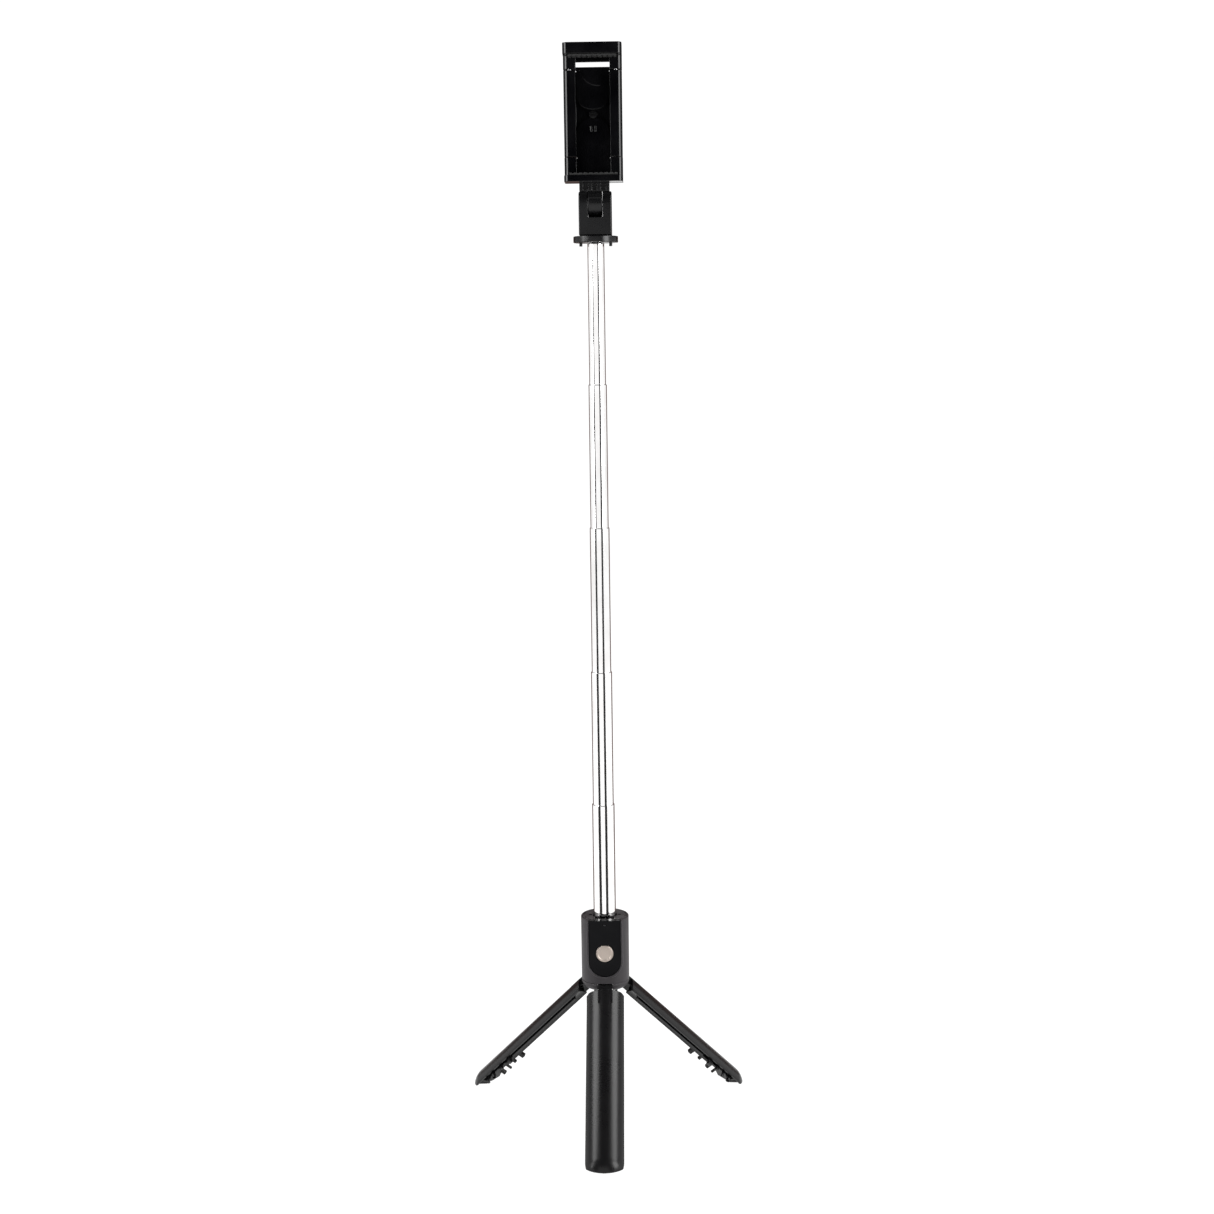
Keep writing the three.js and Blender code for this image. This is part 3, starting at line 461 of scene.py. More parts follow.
LOOKS = {
    # Satin black's strong, light edge colour paints a highlight along the hub pad's rim and other rounded
    # edges, besides rubbed edges.
    "satin_black": finish("satin_black", (0.018, 0.0155, 0.0175), 0.44, specular=0.3, bump=0.4, wear_and_highlight=0.6,
                          wear_and_highlight_color=(0.2, 0.19, 0.2), edge_radius=0.8),
    "leg_black": finish("leg_black", (0.003, 0.0028, 0.0031), 0.28, specular=0.27, spread=0.012, bump=0.05,
                        wear_and_highlight=0.2),
    "gloss_black": finish("gloss_black", (0.0012, 0.0012, 0.0016), 0.1, specular=0.3, bump=0.03, wear_and_highlight=0.1),
    "face_black": finish("face_black", (0.0025, 0.0025, 0.003), 0.16, specular=0.06, bump=0.06, wear_and_highlight=0.2),
    "matt_black": finish("matt_black", (0.003, 0.003, 0.0034), 0.28, specular=0.3, bump=0.15, wear_and_highlight=0.15),
    "chrome": finish("chrome", (0.85, 0.83, 0.82), 0.05, metallic=1.0, spread=0.02, grain=900, bump=0.03,
                     wear_and_highlight=0.0, stretch=(1, 1, 0.02)),
    "steel": finish("steel", (0.55, 0.55, 0.56), 0.28, metallic=1.0, bump=0.15, wear_and_highlight=0.1),
    "black_steel": finish("black_steel", (0.002, 0.002, 0.0022), 0.2, specular=0.2, bump=0.05, wear_and_highlight=0.3),
    "button_metal": finish("button_metal", (0.39, 0.335, 0.295), 0.36, metallic=1.0, bump=0.4, wear_and_highlight=0.8,
                           wear_and_highlight_color=(0.8, 0.74, 0.68), rings=button_centre(), edge_radius=0.6),
    "rubber": finish("rubber", (0.012, 0.012, 0.012), 0.75, specular=0.3, bump=0.6, wear_and_highlight=0.1),
    "white_plastic": finish("white_plastic", (0.75, 0.74, 0.7), 0.4, bump=0.2, wear_and_highlight=0.0),
    "smoked_plastic": finish("smoked_plastic", (0.03, 0.03, 0.035), 0.2, bump=0.1, wear_and_highlight=0.0),
    "circuit_board": finish("circuit_board", (0.02, 0.16, 0.06), 0.4, bump=0.3, wear_and_highlight=0.1),
}
SLOTS = {row["node"]: row["material_slot"] for row in frame["record"]["subparts"]}
OWN_LOOKS = {
    "remote_front": "face_black",
    "status_led": "smoked_plastic",
    "swivel_screw": "black_steel",
    "swivel_washer": "black_steel",
    "leg_shell_front": "leg_black",
    "leg_shell_right": "leg_black",
    "leg_shell_left": "leg_black",
}
BODY_OF = {node: body for body, nodes in frame["record"]["behaviour"]["bodies"].items() for node in nodes}


def look(node):
    return LOOKS[OWN_LOOKS.get(node, SLOTS[node])]


def stand_for(node, piece, edge=0.25, angle=32, segments=3, shift=(0, 0, 0), smooth=35):
    """Rounds a piece's edges, puts it in the row frame and lets it stand for a CAD node."""
    if edge > 0:
        soften(piece, edge, angle, segments)
    piece.data.transform(Matrix.Translation(POLE) @ Matrix.Scale(MM, 4) @ Matrix.Translation(shift))
    piece.data.shade_smooth()
    piece.data.set_sharp_from_angle(angle=math.radians(smooth))
    modifier = piece.modifiers.new("flat faces", "WEIGHTED_NORMAL")
    modifier.keep_sharp = True
    bake(piece)
    piece.name = f"{node}_detail"
    piece.data.name = piece.name
    piece.data.materials.clear()
    piece.data.materials.append(look(node))
    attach(piece, BODY_OF[node])
    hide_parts(node)
    return piece


# ---------- hub ----------


def round_z(angle):
    return Matrix.Rotation(angle, 4, "Z")


def knuckle_room(azimuth):
    half = KNUCKLE_HALF + GAP
    inside = -(HINGE_RADIUS - KNUCKLE_RADIUS - 0.3)
    outside = -(HINGE_RADIUS + KNUCKLE_RADIUS + 0.35)
    slot = box(-half, half, -20, inside, HUB_BOTTOM - 1, HUB_SEAM + 0.65)
    pocket = box(-half, half, outside, inside, HUB_SEAM - 1, HUB_SEAM + KNUCKLE_RADIUS + 0.4)
    reach = KNUCKLE_HALF + 3.1
    pin = rod((-reach, -HINGE_RADIUS, HINGE_HEIGHT), (reach, -HINGE_RADIUS, HINGE_HEIGHT), PIN_BORE, 24)
    return moved(join(slot, pocket, pin), round_z(azimuth))


def channel():
    outline = shield(REMOTE_HALF + GAP, REMOTE_BOTTOM - GAP, HUB_TOP + 5)
    return prism(outline, CHANNEL_BACK, 20, "front")


def hub_shell():
    low = HUB_SEAM + SEAM_HALF
    edge = 0.8
    profile = [(0, low), (HUB_RADIUS - 0.25, low), (HUB_RADIUS, low + 0.25)]
    profile += arc(HUB_RADIUS - edge, HUB_TOP - edge, edge, 0, 90, 5)
    shell = turned(profile + [(0, HUB_TOP)], 128)
    pad = prism(shield(PAD_HALF, REMOTE_BOTTOM - 1.6, HUB_TOP), 6, REMOTE_FRONT, "front")
    soften(pad, 0.9, segments=5)
    join(shell, pad)
    bore = rod((0, 0, HUB_BOTTOM), (0, 0, HUB_TOP + 2), HUB_BORE, 96)
    hollow = rod((0, 0, HUB_FLOOR), (0, 0, HUB_TOP + 2), HUB_RADIUS - HUB_WALL, 96)
    cut(shell, bore, hollow, channel(), *[knuckle_room(a) for a in LEG_AZIMUTHS.values()])
    for side in (-1, 1):
        x0, x1 = sorted((side * 9.3, side * (REMOTE_HALF + 0.7)))
        join(shell, box(x0, x1, -RIB_FRONT, -RIB_BACK, RIB_LOW, RIB_HIGH))
    stand_for("hub_shell", shell, 0.18, 40, 2)


def hub_base():
    high = HUB_SEAM - SEAM_HALF
    flat = 11.4
    profile = [(0, HUB_BOTTOM)]
    for k in range(13):
        angle = math.radians(90 * k / 12)
        radius = flat + (HUB_RADIUS - flat) * math.sin(angle)
        height = HUB_BOTTOM + (HUB_SEAM - HUB_BOTTOM) * (1 - math.cos(angle))
        profile.append((radius, min(height, high - 0.3)))
    profile += [(HUB_RADIUS - 0.25, high), (0, high)]
    base = turned(profile, 128)
    bore = rod((0, 0, HUB_BOTTOM - 1), (0, 0, HUB_TOP), HUB_BORE, 96)
    cut(base, bore, *[knuckle_room(a) for a in LEG_AZIMUTHS.values()])
    stand_for("hub_base", base, 0.18, 40, 2)


def hub_cap():
    outer = HUB_RADIUS - HUB_WALL - GAP
    cap = rod((0, 0, HUB_TOP - 2), (0, 0, HUB_TOP), outer, 96)
    bore = rod((0, 0, HUB_TOP - 5), (0, 0, HUB_TOP + 2), HUB_BORE, 96)
    sides = (-PEG_OFFSET, PEG_OFFSET)
    holes = [rod((x, 0, HUB_TOP - 5), (x, 0, HUB_TOP + 2), 1.4, 32) for x in sides]
    mouth = box(-6.2, 6.2, -12, -3, HUB_TOP - 5, HUB_TOP + 2)
    cut(cap, bore, channel(), mouth, *holes)
    stand_for("hub_cap", cap, 0.2, 40, 3)


# ---------- legs ----------


def nose_radius(drop, inset=0.0):
    """Radius of a folded leg's surface, this far below the hinge."""
    past = max(0.0, drop - (LEG_LENGTH - NOSE_LENGTH))
    return LEG_RADIUS - NOSE_RADIUS + math.sqrt((NOSE_RADIUS - inset) ** 2 - past**2)


def leg_wall(columns=44, rows=12):
    """The folded leg's curved wall, as a grid of faces outside and inside and a rim round them."""
    bend = LEG_LENGTH - NOSE_LENGTH
    top = LEG_TOP_DROP - 0.5
    drops = [top + (bend - top) * k / 6 for k in range(6)]
    drops += [bend + NOSE_LENGTH * math.sin(math.pi / 2 * k / rows) for k in range(rows + 1)]
    half = LEG_HALF_ANGLE
    angles = [math.radians(-half + 2 * half * k / columns) for k in range(columns + 1)]
    points = []
    for inset in (0, LEG_WALL):
        for drop in drops:
            for angle in angles:
                radius = nose_radius(drop, inset)
                points.append((radius * math.sin(angle), -radius * math.cos(angle), HINGE_HEIGHT - drop))
    wide, tall = len(angles), len(drops)

    def at(layer, row, column):
        return (layer * tall + row) * wide + column

    def rim(*edge):
        return [at(0, *edge[0]), at(0, *edge[1]), at(1, *edge[1]), at(1, *edge[0])]

    faces = []
    for row in range(tall - 1):
        for column in range(wide - 1):
            ring = [(row, column), (row + 1, column), (row + 1, column + 1), (row, column + 1)]
            faces.append([at(0, r, c) for r, c in ring])
            faces.append([at(1, r, c) for r, c in reversed(ring)])
    for row in range(tall - 1):
        faces += [rim((row, column), (row + 1, column)) for column in (0, wide - 1)]
    for column in range(wide - 1):
        faces += [rim((row, column), (row, column + 1)) for row in (0, tall - 1)]
    return new_piece("part", points, faces)


def sector(outer, inner, half_angle, low, high, steps=24):
    outline = arc(0, 0, outer, -90 - half_angle, -90 + half_angle, steps)
    outline += arc(0, 0, inner, -90 + half_angle, -90 - half_angle, steps)
    return prism(outline, low, high)


def unfolded(piece, ground, azimuth):
    """Opens a leg's piece about its hinge, cuts it off at the ground and turns it to its place."""
    hinge = Vector((0, -HINGE_RADIUS, HINGE_HEIGHT))
    turn = Matrix.Rotation(-LEG_ANGLE, 4, "X")
    moved(piece, Matrix.Translation(hinge) @ turn @ Matrix.Translation(-hinge))
    cut(piece, box(-60, 60, -200, 60, -60, ground))
    return moved(piece, round_z(azimuth))


def leg_shell():
    top = HINGE_HEIGHT - LEG_TOP_DROP
    half = LEG_RADIUS * math.sin(math.radians(LEG_HALF_ANGLE)) + 0.2
    shell = leg_wall()
    within(shell, prism(rounded(-half, half, -60, top, 0, 3.0), 0, 20, "front"))
    front = HINGE_RADIUS + 2.2
    back = HINGE_RADIUS - KNUCKLE_RADIUS
    knuckle = arc(HINGE_RADIUS, HINGE_HEIGHT, KNUCKLE_RADIUS, 180, 36, 16)
    knuckle += [(front, HINGE_HEIGHT - 4), (front, HINGE_HEIGHT - 15)]
    knuckle += [(back + 1.6, HINGE_HEIGHT - 11), (back, HINGE_HEIGHT - 6)]
    join(shell, prism(knuckle, -KNUCKLE_HALF, KNUCKLE_HALF, "side"))
    bore = rod((-8, -HINGE_RADIUS, HINGE_HEIGHT), (8, -HINGE_RADIUS, HINGE_HEIGHT), PIN_BORE, 24)
    return cut(shell, bore)


def to_meeting_plane(side):
    """Turns the X axis onto the plane between a folded leg and its neighbour."""
    return Matrix.Rotation(math.radians(-90 + side * 60), 4, "Z")


def peg(side, drop, radius, start, end):
    height = HINGE_HEIGHT - drop
    pin = rod((CATCH_RADIUS, side * start, height), (CATCH_RADIUS, side * end, height), radius, 24)
    return moved(pin, to_meeting_plane(side))


def tooth(side, drop, length, start, end, depth):
    x0, x1 = TOOTH_RADIUS - depth / 2, TOOTH_RADIUS + depth / 2
    near, far = sorted((side * start, side * end))
    height = HINGE_HEIGHT - drop
    block = box(x0, x1, near, far, height - length / 2, height + length / 2)
    return moved(block, to_meeting_plane(side))


def leg_liner():
    top = HINGE_HEIGHT - LINER_TOP_DROP
    bottom = HINGE_HEIGHT - LINER_END_DROP
    outer = LEG_RADIUS - LEG_WALL - GAP
    rib_root = LINER_RADII[0] - 0.3
    liner = sector(*LINER_RADII, LINER_HALF_ANGLE, bottom, top)
    rib_turns = [round_z(math.radians(side * RIB_HALF_ANGLE)) for side in (-1, 1)]
    ribs = [moved(sector(outer, rib_root, 2, bottom, top, 3), turn) for turn in rib_turns]
    web_half = RIB_HALF_ANGLE - 0.7
    heights = [HINGE_HEIGHT - drop for drop in WEB_DROPS]
    webs = [sector(outer - 0.3, rib_root, web_half, z, z + 1.2) for z in heights]
    end = bottom - 0.5
    high, low = [HINGE_HEIGHT - drop for drop in GUSSET_DROPS]
    outline = [(outer - 0.2, high), (8.6, high), (3.2, low), (5.4, end), (outer - 0.2, end)]
    gusset = within(prism(outline, -10, 10, "side"), sector(outer - 0.2, 3.2, 56, end - 2, top))
    join(liner, *ribs, *webs, gusset)
    for side in (-1, 1):
        cut(liner, tooth(side, 89.4, 8.2, -3, 4, 3.6), tooth(side, 98, 5.6, -3, 4, 3.0))
        cut(liner, tooth(side, 109, 11.6, -3, 4, 4.4))
    for side in (-1, 1):
        long, short = TOOTH_DROPS[side]
        ring = RING_DROPS[side]
        join(liner, tooth(side, long, 2.8, -4.2, 2.6, 2.6), tooth(side, short, 1.8, -4.2, 1.8, 2.0))
        join(liner, peg(side, ring, 1.6, -4, 2.4), peg(side, PEG_DROPS[side], 0.95, -4, 2.8))
        cut(liner, peg(side, ring, 1.27, -3.4, 4))
    return liner


def legs():
    makers = {"leg_shell": (leg_shell, 0.4, 0.3), "leg_liner": (leg_liner, 0.0, 0.15)}
    for side, azimuth in LEG_AZIMUTHS.items():
        for kind, (maker, ground, edge) in makers.items():
            piece = unfolded(maker(), ground, azimuth)
            stand_for(f"{kind}_{side}", piece, edge, 40, 2)


# ---------- pole ----------


def tube(section):
    low, high = span(f"tube_{section}")
    radius = high.x
    inner = radius - TUBE_WALL
    lip = span(f"tube_{section - 1}")[1].x + 0.06 if section > 1 else inner - 0.5
    roll = min(TUBE_ROLL, radius - lip)
    profile = [(inner, low.z), (radius, low.z)]
    profile += arc(radius - roll, high.z - roll, roll, 0, 90, 6)
    profile += [(lip, high.z), (lip, high.z - 1.0), (inner, high.z - 1.0)]
    stand_for(f"tube_{section}", turned(profile, 96), edge=0)


def pole():
    for section in range(1, 7):
        tube(section)
    low, high = span("end_plug")
    profile = [(0, low.z)] + arc(high.x - 0.8, low.z + 0.8, 0.8, -90, 0, 5)
    profile += [(high.x, low.z + 2.05), (high.x - 0.4, low.z + 2.2), (high.x - 0.4, high.z), (0, high.z)]
    plug = turned(profile, 96)
    cut(plug, prism(rounded(-3, 3, -0.5, 0.5, 0.45), low.z - 1, low.z + 0.8))
    stand_for("end_plug", plug, 0.15, 40, 2)


# ---------- remote ----------


def remote_front():
    seam = -span("remote_front")[1].y
    face = prism(shield(REMOTE_HALF, REMOTE_BOTTOM, REMOTE_TOP), seam, REMOTE_FRONT, "front")
    soften(face, 0.45, segments=4)
    inner = shield(REMOTE_HALF - REMOTE_WALL, REMOTE_BOTTOM + 1, REMOTE_TOP - 1)
    hollow = prism(inner, seam - 1, REMOTE_FRONT - 1.2, "front")
    hole = rod((0, -20, BUTTON_HEIGHT), (0, -10, BUTTON_HEIGHT), BUTTON_RADIUS + 0.25, 96)
    led_height = REMOTE_TOP - LED_DROP
    pipe = rod((0, -20, led_height), (0, -10, led_height), LED_RADIUS, 24)
    cut(face, hollow, hole, pipe)
    stand_for("remote_front", face, 0.12, 40, 2)


def remote_lip(half, near, far):
    base = REMOTE_BOTTOM + REMOTE_HALF - half
    return prism(shield(half, base, REMOTE_TOP - (REMOTE_HALF - half)), near, far, "front")


def remote_back():
    seam = -span("remote_back")[0].y
    back = prism(shield(REMOTE_HALF, REMOTE_BOTTOM, REMOTE_TOP), REMOTE_BACK, REMOTE_BACK + 1.85, "front")
    soften(back, 0.35, segments=3)
    lip_outer = REMOTE_HALF - REMOTE_WALL - 0.25
    lip_inner = lip_outer - 0.55
    join(back, remote_lip(lip_outer, REMOTE_BACK + 0.4, seam))
    low, high = span("battery_door")
    cell = (low.z + high.z) / 2
    cut(
        back,
        remote_lip(lip_inner, REMOTE_BACK + 0.8, REMOTE_FRONT),
        rod((0, -11.5, cell), (0, -8, cell), 7.6, 64),
        rod((0, -10.35, cell), (0, -8, cell), 8.1, 64),
    )
    stand_for("remote_back", back, 0.12, 40, 2)

    step = DOOR_RADIUS - 0.5
    ledge = DOOR_FRONT - 0.35
    profile = [(0, REMOTE_BACK), (DOOR_RADIUS, REMOTE_BACK), (DOOR_RADIUS, ledge), (step, ledge)]
    door = turned_forward(profile + [(step, DOOR_FRONT), (0, DOOR_FRONT)], cell, 64)
    cut(door, prism(rounded(-4, 4, cell - 0.7, cell + 0.7, 0.6), 9, 10.35, "front"))
    stand_for("battery_door", door, 0.1, 40, 2)


def remote_button():
    front = -BUTTON_LOW.y
    flange = BUTTON_BACK + 0.3
    profile = [(0, BUTTON_BACK), (BUTTON_FLANGE, BUTTON_BACK)]
    profile += [(BUTTON_FLANGE, flange), (BUTTON_RADIUS, flange)]
    profile += arc(BUTTON_RADIUS - 0.3, front - 0.3, 0.3, 0, 90, 4)
    profile += arc(BUTTON_RADIUS - 1.15, front - 0.12, 0.12, 90, 180, 3)
    profile += [(BUTTON_RADIUS - 1.4, front - 0.3), (0, front - 0.3)]
    button = turned_forward(profile, BUTTON_HEIGHT, 96)
    stem = rod((0, -13.2, BUTTON_HEIGHT - 2.2), (0, -12.78, BUTTON_HEIGHT - 2.2), 1.2, 32)
    stand_for("remote_button", join(button, stem), edge=0, smooth=50)


# ---------- head ----------


def across(x0, x1, radius, segments=64, edge=0.0):
    return rod((x0, 0, TILT), (x1, 0, TILT), radius, segments, edge)


def top_disc():
    edge = 0.5
    profile = [(0, DISC_BOTTOM)] + arc(DISC_RADIUS - edge, DISC_BOTTOM + edge, edge, -90, 0, 5)
    profile += arc(DISC_RADIUS - edge, DISC_TOP - edge, edge, 0, 90, 5) + [(0, DISC_TOP)]
    disc = turned(profile, 128)
    bottom = span("top_disc")[0].z
    sides = (-PEG_OFFSET, PEG_OFFSET)
    pegs = [rod((x, 0, bottom), (x, 0, DISC_BOTTOM + 0.5), 0.95, 32, 0.2) for x in sides]
    join(disc, *pegs)
    cut(disc, rod((0, 0, DISC_BOTTOM - 1), (0, 0, DISC_TOP + 1), 3.8, 64))
    stand_for("top_disc", disc, 0.12, 50, 2)


def neck_fork():
    outline = [(-FORK_DEPTH, DISC_TOP + GAP), (FORK_DEPTH, DISC_TOP + GAP)]
    outline += arc(0, TILT, FORK_DEPTH, 0, 180, 32)
    fork = prism(outline, -FORK_HALF, FORK_HALF, "side")
    soften(fork, 0.8, segments=4)
    floor, half = TILT - FORK_SLOT_DROP, FORK_SLOT_HALF
    slot = [(-half, floor), (half, floor), (half, TILT + 20), (-half, TILT + 20)]
    half_bore = [(0, 20), (TILT_RECESS, 20), (TILT_RECESS, 7.2), (TILT_BORE, 7.2)]
    bore = turned([(x, -y) for x, y in half_bore] + half_bore[::-1], 64)
    moved(bore, Matrix.Translation((0, 0, TILT)) @ Matrix.Rotation(math.pi / 2, 4, "Y"))
    cut(fork, prism(slot, -20, 20, "front"), rod((0, 0, DISC_TOP), (0, 0, floor + 1), 3.6), bore)
    stand_for("neck_fork", fork, 0.22, 40, 3)


def tilt_screw():
    screw = join(across(-8, 8.8, 2.0, 48, 0.3), across(-9.6, -7.9, 3.5, 64, 0.4))
    cut(screw, across(-10, -8.4, 1.3, 6))
    stand_for("tilt_screw", screw, 0.08, 40, 2)
    washer = cut(across(-7.6, -7.35, 3.5), across(-8, -7, TILT_BORE))
    stand_for("tilt_washer", washer, 0.05, 40, 2)
    rounding = across(7.5, 9.3, TILT_NUT_RADIUS - 0.08, 64, 0.35)
    nut = within(across(7.5, 9.3, TILT_NUT_RADIUS, 6), rounding)
    stand_for("tilt_nut", cut(nut, across(7, 10, TILT_BORE)), 0.06, 40, 2)


def tilt_arm():
    knuckle = across(-ARM_NECK_HALF, ARM_NECK_HALF, ARM_KNUCKLE_RADIUS, 96)
    neck = [(0, TILT - 2), (9.5, TILT + 5.2), (ARM_REACH, TILT + 8), (ARM_REACH, TILT + 13)]
    neck += [(7.2, TILT + 10.5), (4, TILT + 6.4), (0, TILT + 6)]
    face = ARM_REACH + ARM_PLATE
    block = [(10.4, TILT + 6.5), (face, TILT + 6.5), (face, TILT + 17), (ARM_REACH, TILT + 17)]
    block += [(8.4, TILT + 11.5), (8.4, TILT + 8)]
    plate = rounded(-ARM_HALF, ARM_HALF, TILT + 8, SPIN + ARM_HALF, 0, ARM_HALF, 24)
    arm = join(
        knuckle,
        prism(neck, -ARM_NECK_HALF, ARM_NECK_HALF, "side"),
        prism(block, -ARM_HALF, ARM_HALF, "side"),
        prism(plate, ARM_REACH, face, "front"),
    )
    grooves = [box(x - 1.45, x + 1.45, -face - 1, -face + 1.8, TILT, TILT + 15) for x in (-5.3, 0, 5.3)]
    bores = [
        across(-10, 10, TILT_BORE, 48),
        rod((0, -10, SPIN), (0, -30, SPIN), SWIVEL_BORE),
        rod((0, -10, SPIN), (0, -ARM_REACH - 1.4, SPIN), 4.3, 64),
    ]
    stand_for("tilt_arm", cut(arm, *bores, *grooves), 0.3, 40, 3)
    near, far = ARM_REACH + 0.05, ARM_REACH + 1.1
    nut = rod((0, -near, SPIN), (0, -far, SPIN), TILT_NUT_RADIUS, 6)
    cut(nut, rod((0, -10, SPIN), (0, -30, SPIN), SWIVEL_BORE))
    stand_for("swivel_nut", nut, 0.1, 40, 2)


# ---------- phone clamp, drawn about its back plane and lower end ----------

CLAMP = (0, -CLAMP_BACK, CLAMP_BASE)


def forward(near, far, height, radius, segments=48):
    return rod((0, -near, height), (0, -far, height), radius, segments)


def upright(x, low, high, radius, segments=48, edge=0.0):
    return rod((x, -ROD_DEPTH, low), (x, -ROD_DEPTH, high), radius, segments, edge)


def rail(side, half, low, high, depth):
    outline = [(RAIL_INNER, 0), (RAIL_INNER, -depth)]
    outline += arc(half - RAIL_CORNER, RAIL_CORNER - depth, RAIL_CORNER, -90, 0, 12) + [(half, 0)]
    return prism([(side * x, y) for x, y in outline], low, high)


def jaw(low, high, hook_low, hook_high):
    half = CLAMP_HALF + 0.05
    piece = box(2 - half, half - 2, -SHEET, 0, low, high)
    hook = [(-half, 0)] + arc(RAIL_CORNER - half, RAIL_CORNER - HOOK_REACH, RAIL_CORNER, 180, 270, 12)
    hook += arc(half - RAIL_CORNER, RAIL_CORNER - HOOK_REACH, RAIL_CORNER, 270, 360, 12) + [(half, 0)]
    rails = [rail(side, half, low, high, RAIL_DEPTH + 0.05) for side in (-1, 1)]
    return join(piece, *rails, prism(hook, hook_low, hook_high))


def arch(end, spread):
    """A round-ended outline edge, from one side to the other, with its middle at the end height."""
    start = (-TONGUE_HALF, end + spread)
    left = curve(start, (-9.2, end + spread * 0.32), (-5, end), (0, end), 16)
    right = [(-x, y) for x, y in reversed(left)]
    return left + right[1:]


def clamp_frame():
    low = LOWER_JAW_TOP + GAP
    frame_back = box(2 - CLAMP_HALF, CLAMP_HALF - 2, -SHEET, 0, low, FRAME_TOP)
    join(frame_back, *[rail(side, CLAMP_HALF, low, FRAME_TOP, RAIL_DEPTH) for side in (-1, 1)])
    for x in (-ROD_OFFSET, ROD_OFFSET):
        spring_bore = upright(x, LOWER_JAW_TOP, FRAME_TOP - 2, SPRING_BORE)
        cut(frame_back, spring_bore, upright(x, FRAME_TOP - 3, FRAME_TOP + 1, ROD_BORE))
    cut(frame_back, forward(-1, 5, CLAMP_SPIN, SWIVEL_BORE))
    stand_for("clamp_frame", frame_back, 0.15, 40, 2, CLAMP)


def jaws():
    stand_for("jaw_lower", jaw(0, LOWER_JAW_TOP, 0, LOWER_HOOK), 0.2, 40, 3, CLAMP)

    upper = jaw(UPPER_JAW_BOTTOM, CLAMP_HEIGHT, CLAMP_HEIGHT - UPPER_HOOK, CLAMP_HEIGHT)
    front = TONGUE[1]
    base = UPPER_JAW_BOTTOM + 1
    outline = [(TONGUE_HALF, base), (-TONGUE_HALF, base)] + arch(CLAMP_SPIN + 2.9, 7.3)
    bridge = box(-RAIL_INNER, RAIL_INNER, -front, -1, UPPER_JAW_BOTTOM, CLAMP_HEIGHT - 12.4)
    cut(upper, box(-RAIL_INNER, RAIL_INNER, -5, 1, CLAMP_HEIGHT - 12.1, CLAMP_HEIGHT - 9.2))
    line = arc(3.2, 66.6, 11.4, 190, 275, 24) + arc(3.2, 66.6, 11.1, 275, 190, 24)
    tongue = cut(prism(outline, *TONGUE, "front"), prism(line, front - 0.2, front + 1, "front"))
    join(upper, tongue, bridge)
    for x in (-ROD_OFFSET, ROD_OFFSET):
        cut(upper, upright(x, UPPER_JAW_BOTTOM - 1, 72.4, ROD_BORE))
    stand_for("jaw_upper", upper, 0.2, 40, 3, CLAMP)

    for node in ("jaw_pad_lower", "jaw_pad_upper"):
        a, b = [corner - Vector(CLAMP) for corner in span(node)]
        pad = prism(rounded(-b.y, -a.y, a.z, b.z, 0.4), -14, 14, "side")
        z0, z1 = (b.z - 0.4, b.z + 2) if node == "jaw_pad_lower" else (a.z - 2, a.z + 0.4)
        grooves = [box(x - 0.5, x + 0.5, -20, -5, z0, z1) for x in range(-12, 13, 3)]
        stand_for(node, cut(pad, *grooves), 0.12, 40, 2, CLAMP)


def back_pad():
    base = LOWER_HOOK + 0.6
    top = CLAMP_SPIN - 1.8
    outline = [(-TONGUE_HALF, base), (TONGUE_HALF, base)]
    outline += [(-x, 2 * top - y) for x, y in arch(top, 9.0)]
    pad = prism(outline, *TONGUE, "front")
    slots = [box(x, x + 0.8, -6, -3.4, 29.2, 32.5) for x in (-1.6, 0.8)]
    cut(pad, forward(0, 6, CLAMP_SPIN, 2.8, 64), *slots)
    stand_for("back_pad", pad, 0.25, 40, 3, CLAMP)


def swivel_screw():
    profile = [(0, -3.2), (1.3, -3.2), (1.5, -3.0), (1.5, 2.95)]
    profile += arc(1.85, 3.25, 0.3, -90, 0, 3) + arc(1.85, 4.3, 0.3, 0, 90, 3) + [(0, 4.6)]
    screw = turned_forward(profile, CLAMP_SPIN, 64)
    cut(screw, box(-2.2, 2.2, -5, -4.1, CLAMP_SPIN - 0.31, CLAMP_SPIN + 0.31))
    stand_for("swivel_screw", screw, 0, 40, 2, CLAMP)


def coil(x, low, high):
    """A compression spring's wire."""
    steps, sides = SPRING_TURNS * 32, 10
    points, faces = [], []
    for k in range(steps + 1):
        t = k / steps
        angle = t * SPRING_TURNS * 2 * math.pi
        rise = low + (high - low) * t
        out = Vector((math.cos(angle), math.sin(angle), 0))
        centre = out * SPRING_RADIUS + Vector((x, -ROD_DEPTH, rise))
        for j in range(sides):
            turn = 2 * math.pi * j / sides
            across_wire = out * (SPRING_WIRE * math.cos(turn))
            points.append(centre + across_wire + Vector((0, 0, SPRING_WIRE * math.sin(turn))))
    for k in range(steps):
        for j in range(sides):
            n = (j + 1) % sides
            faces.append((k * sides + j, k * sides + n, (k + 1) * sides + n, (k + 1) * sides + j))
    faces += [tuple(range(sides)), tuple(range(steps * sides, (steps + 1) * sides))]
    return new_piece("part", points, faces)


def rods_and_springs():
    for name, side in (("left", -1), ("right", 1)):
        x = side * ROD_OFFSET
        low, high = span(f"guide_rod_{name}")
        base, end = low.z - CLAMP_BASE, high.z - CLAMP_BASE
        collar = upright(x, base, base + 1.5, 2.3, 48, 0.3)
        guide = join(upright(x, base, end, ROD_RADIUS, 48, 0.2), collar)
        stand_for(f"guide_rod_{name}", guide, 0, 40, 2, CLAMP)
        low, high = span(f"clamp_spring_{name}")
        base, end = low.z - CLAMP_BASE + SPRING_WIRE, high.z - CLAMP_BASE - SPRING_WIRE
        spring = stand_for(f"clamp_spring_{name}", coil(x, base, end), 0, 40, 2, CLAMP)
        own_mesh(spring)


# ---------- everything else keeps its CAD shape ----------


def finish_cad_nodes():
    for node, piece in frame["nodes"].items():
        piece.data.materials.clear()
        piece.data.materials.append(look(node))


# ---------- studio ----------


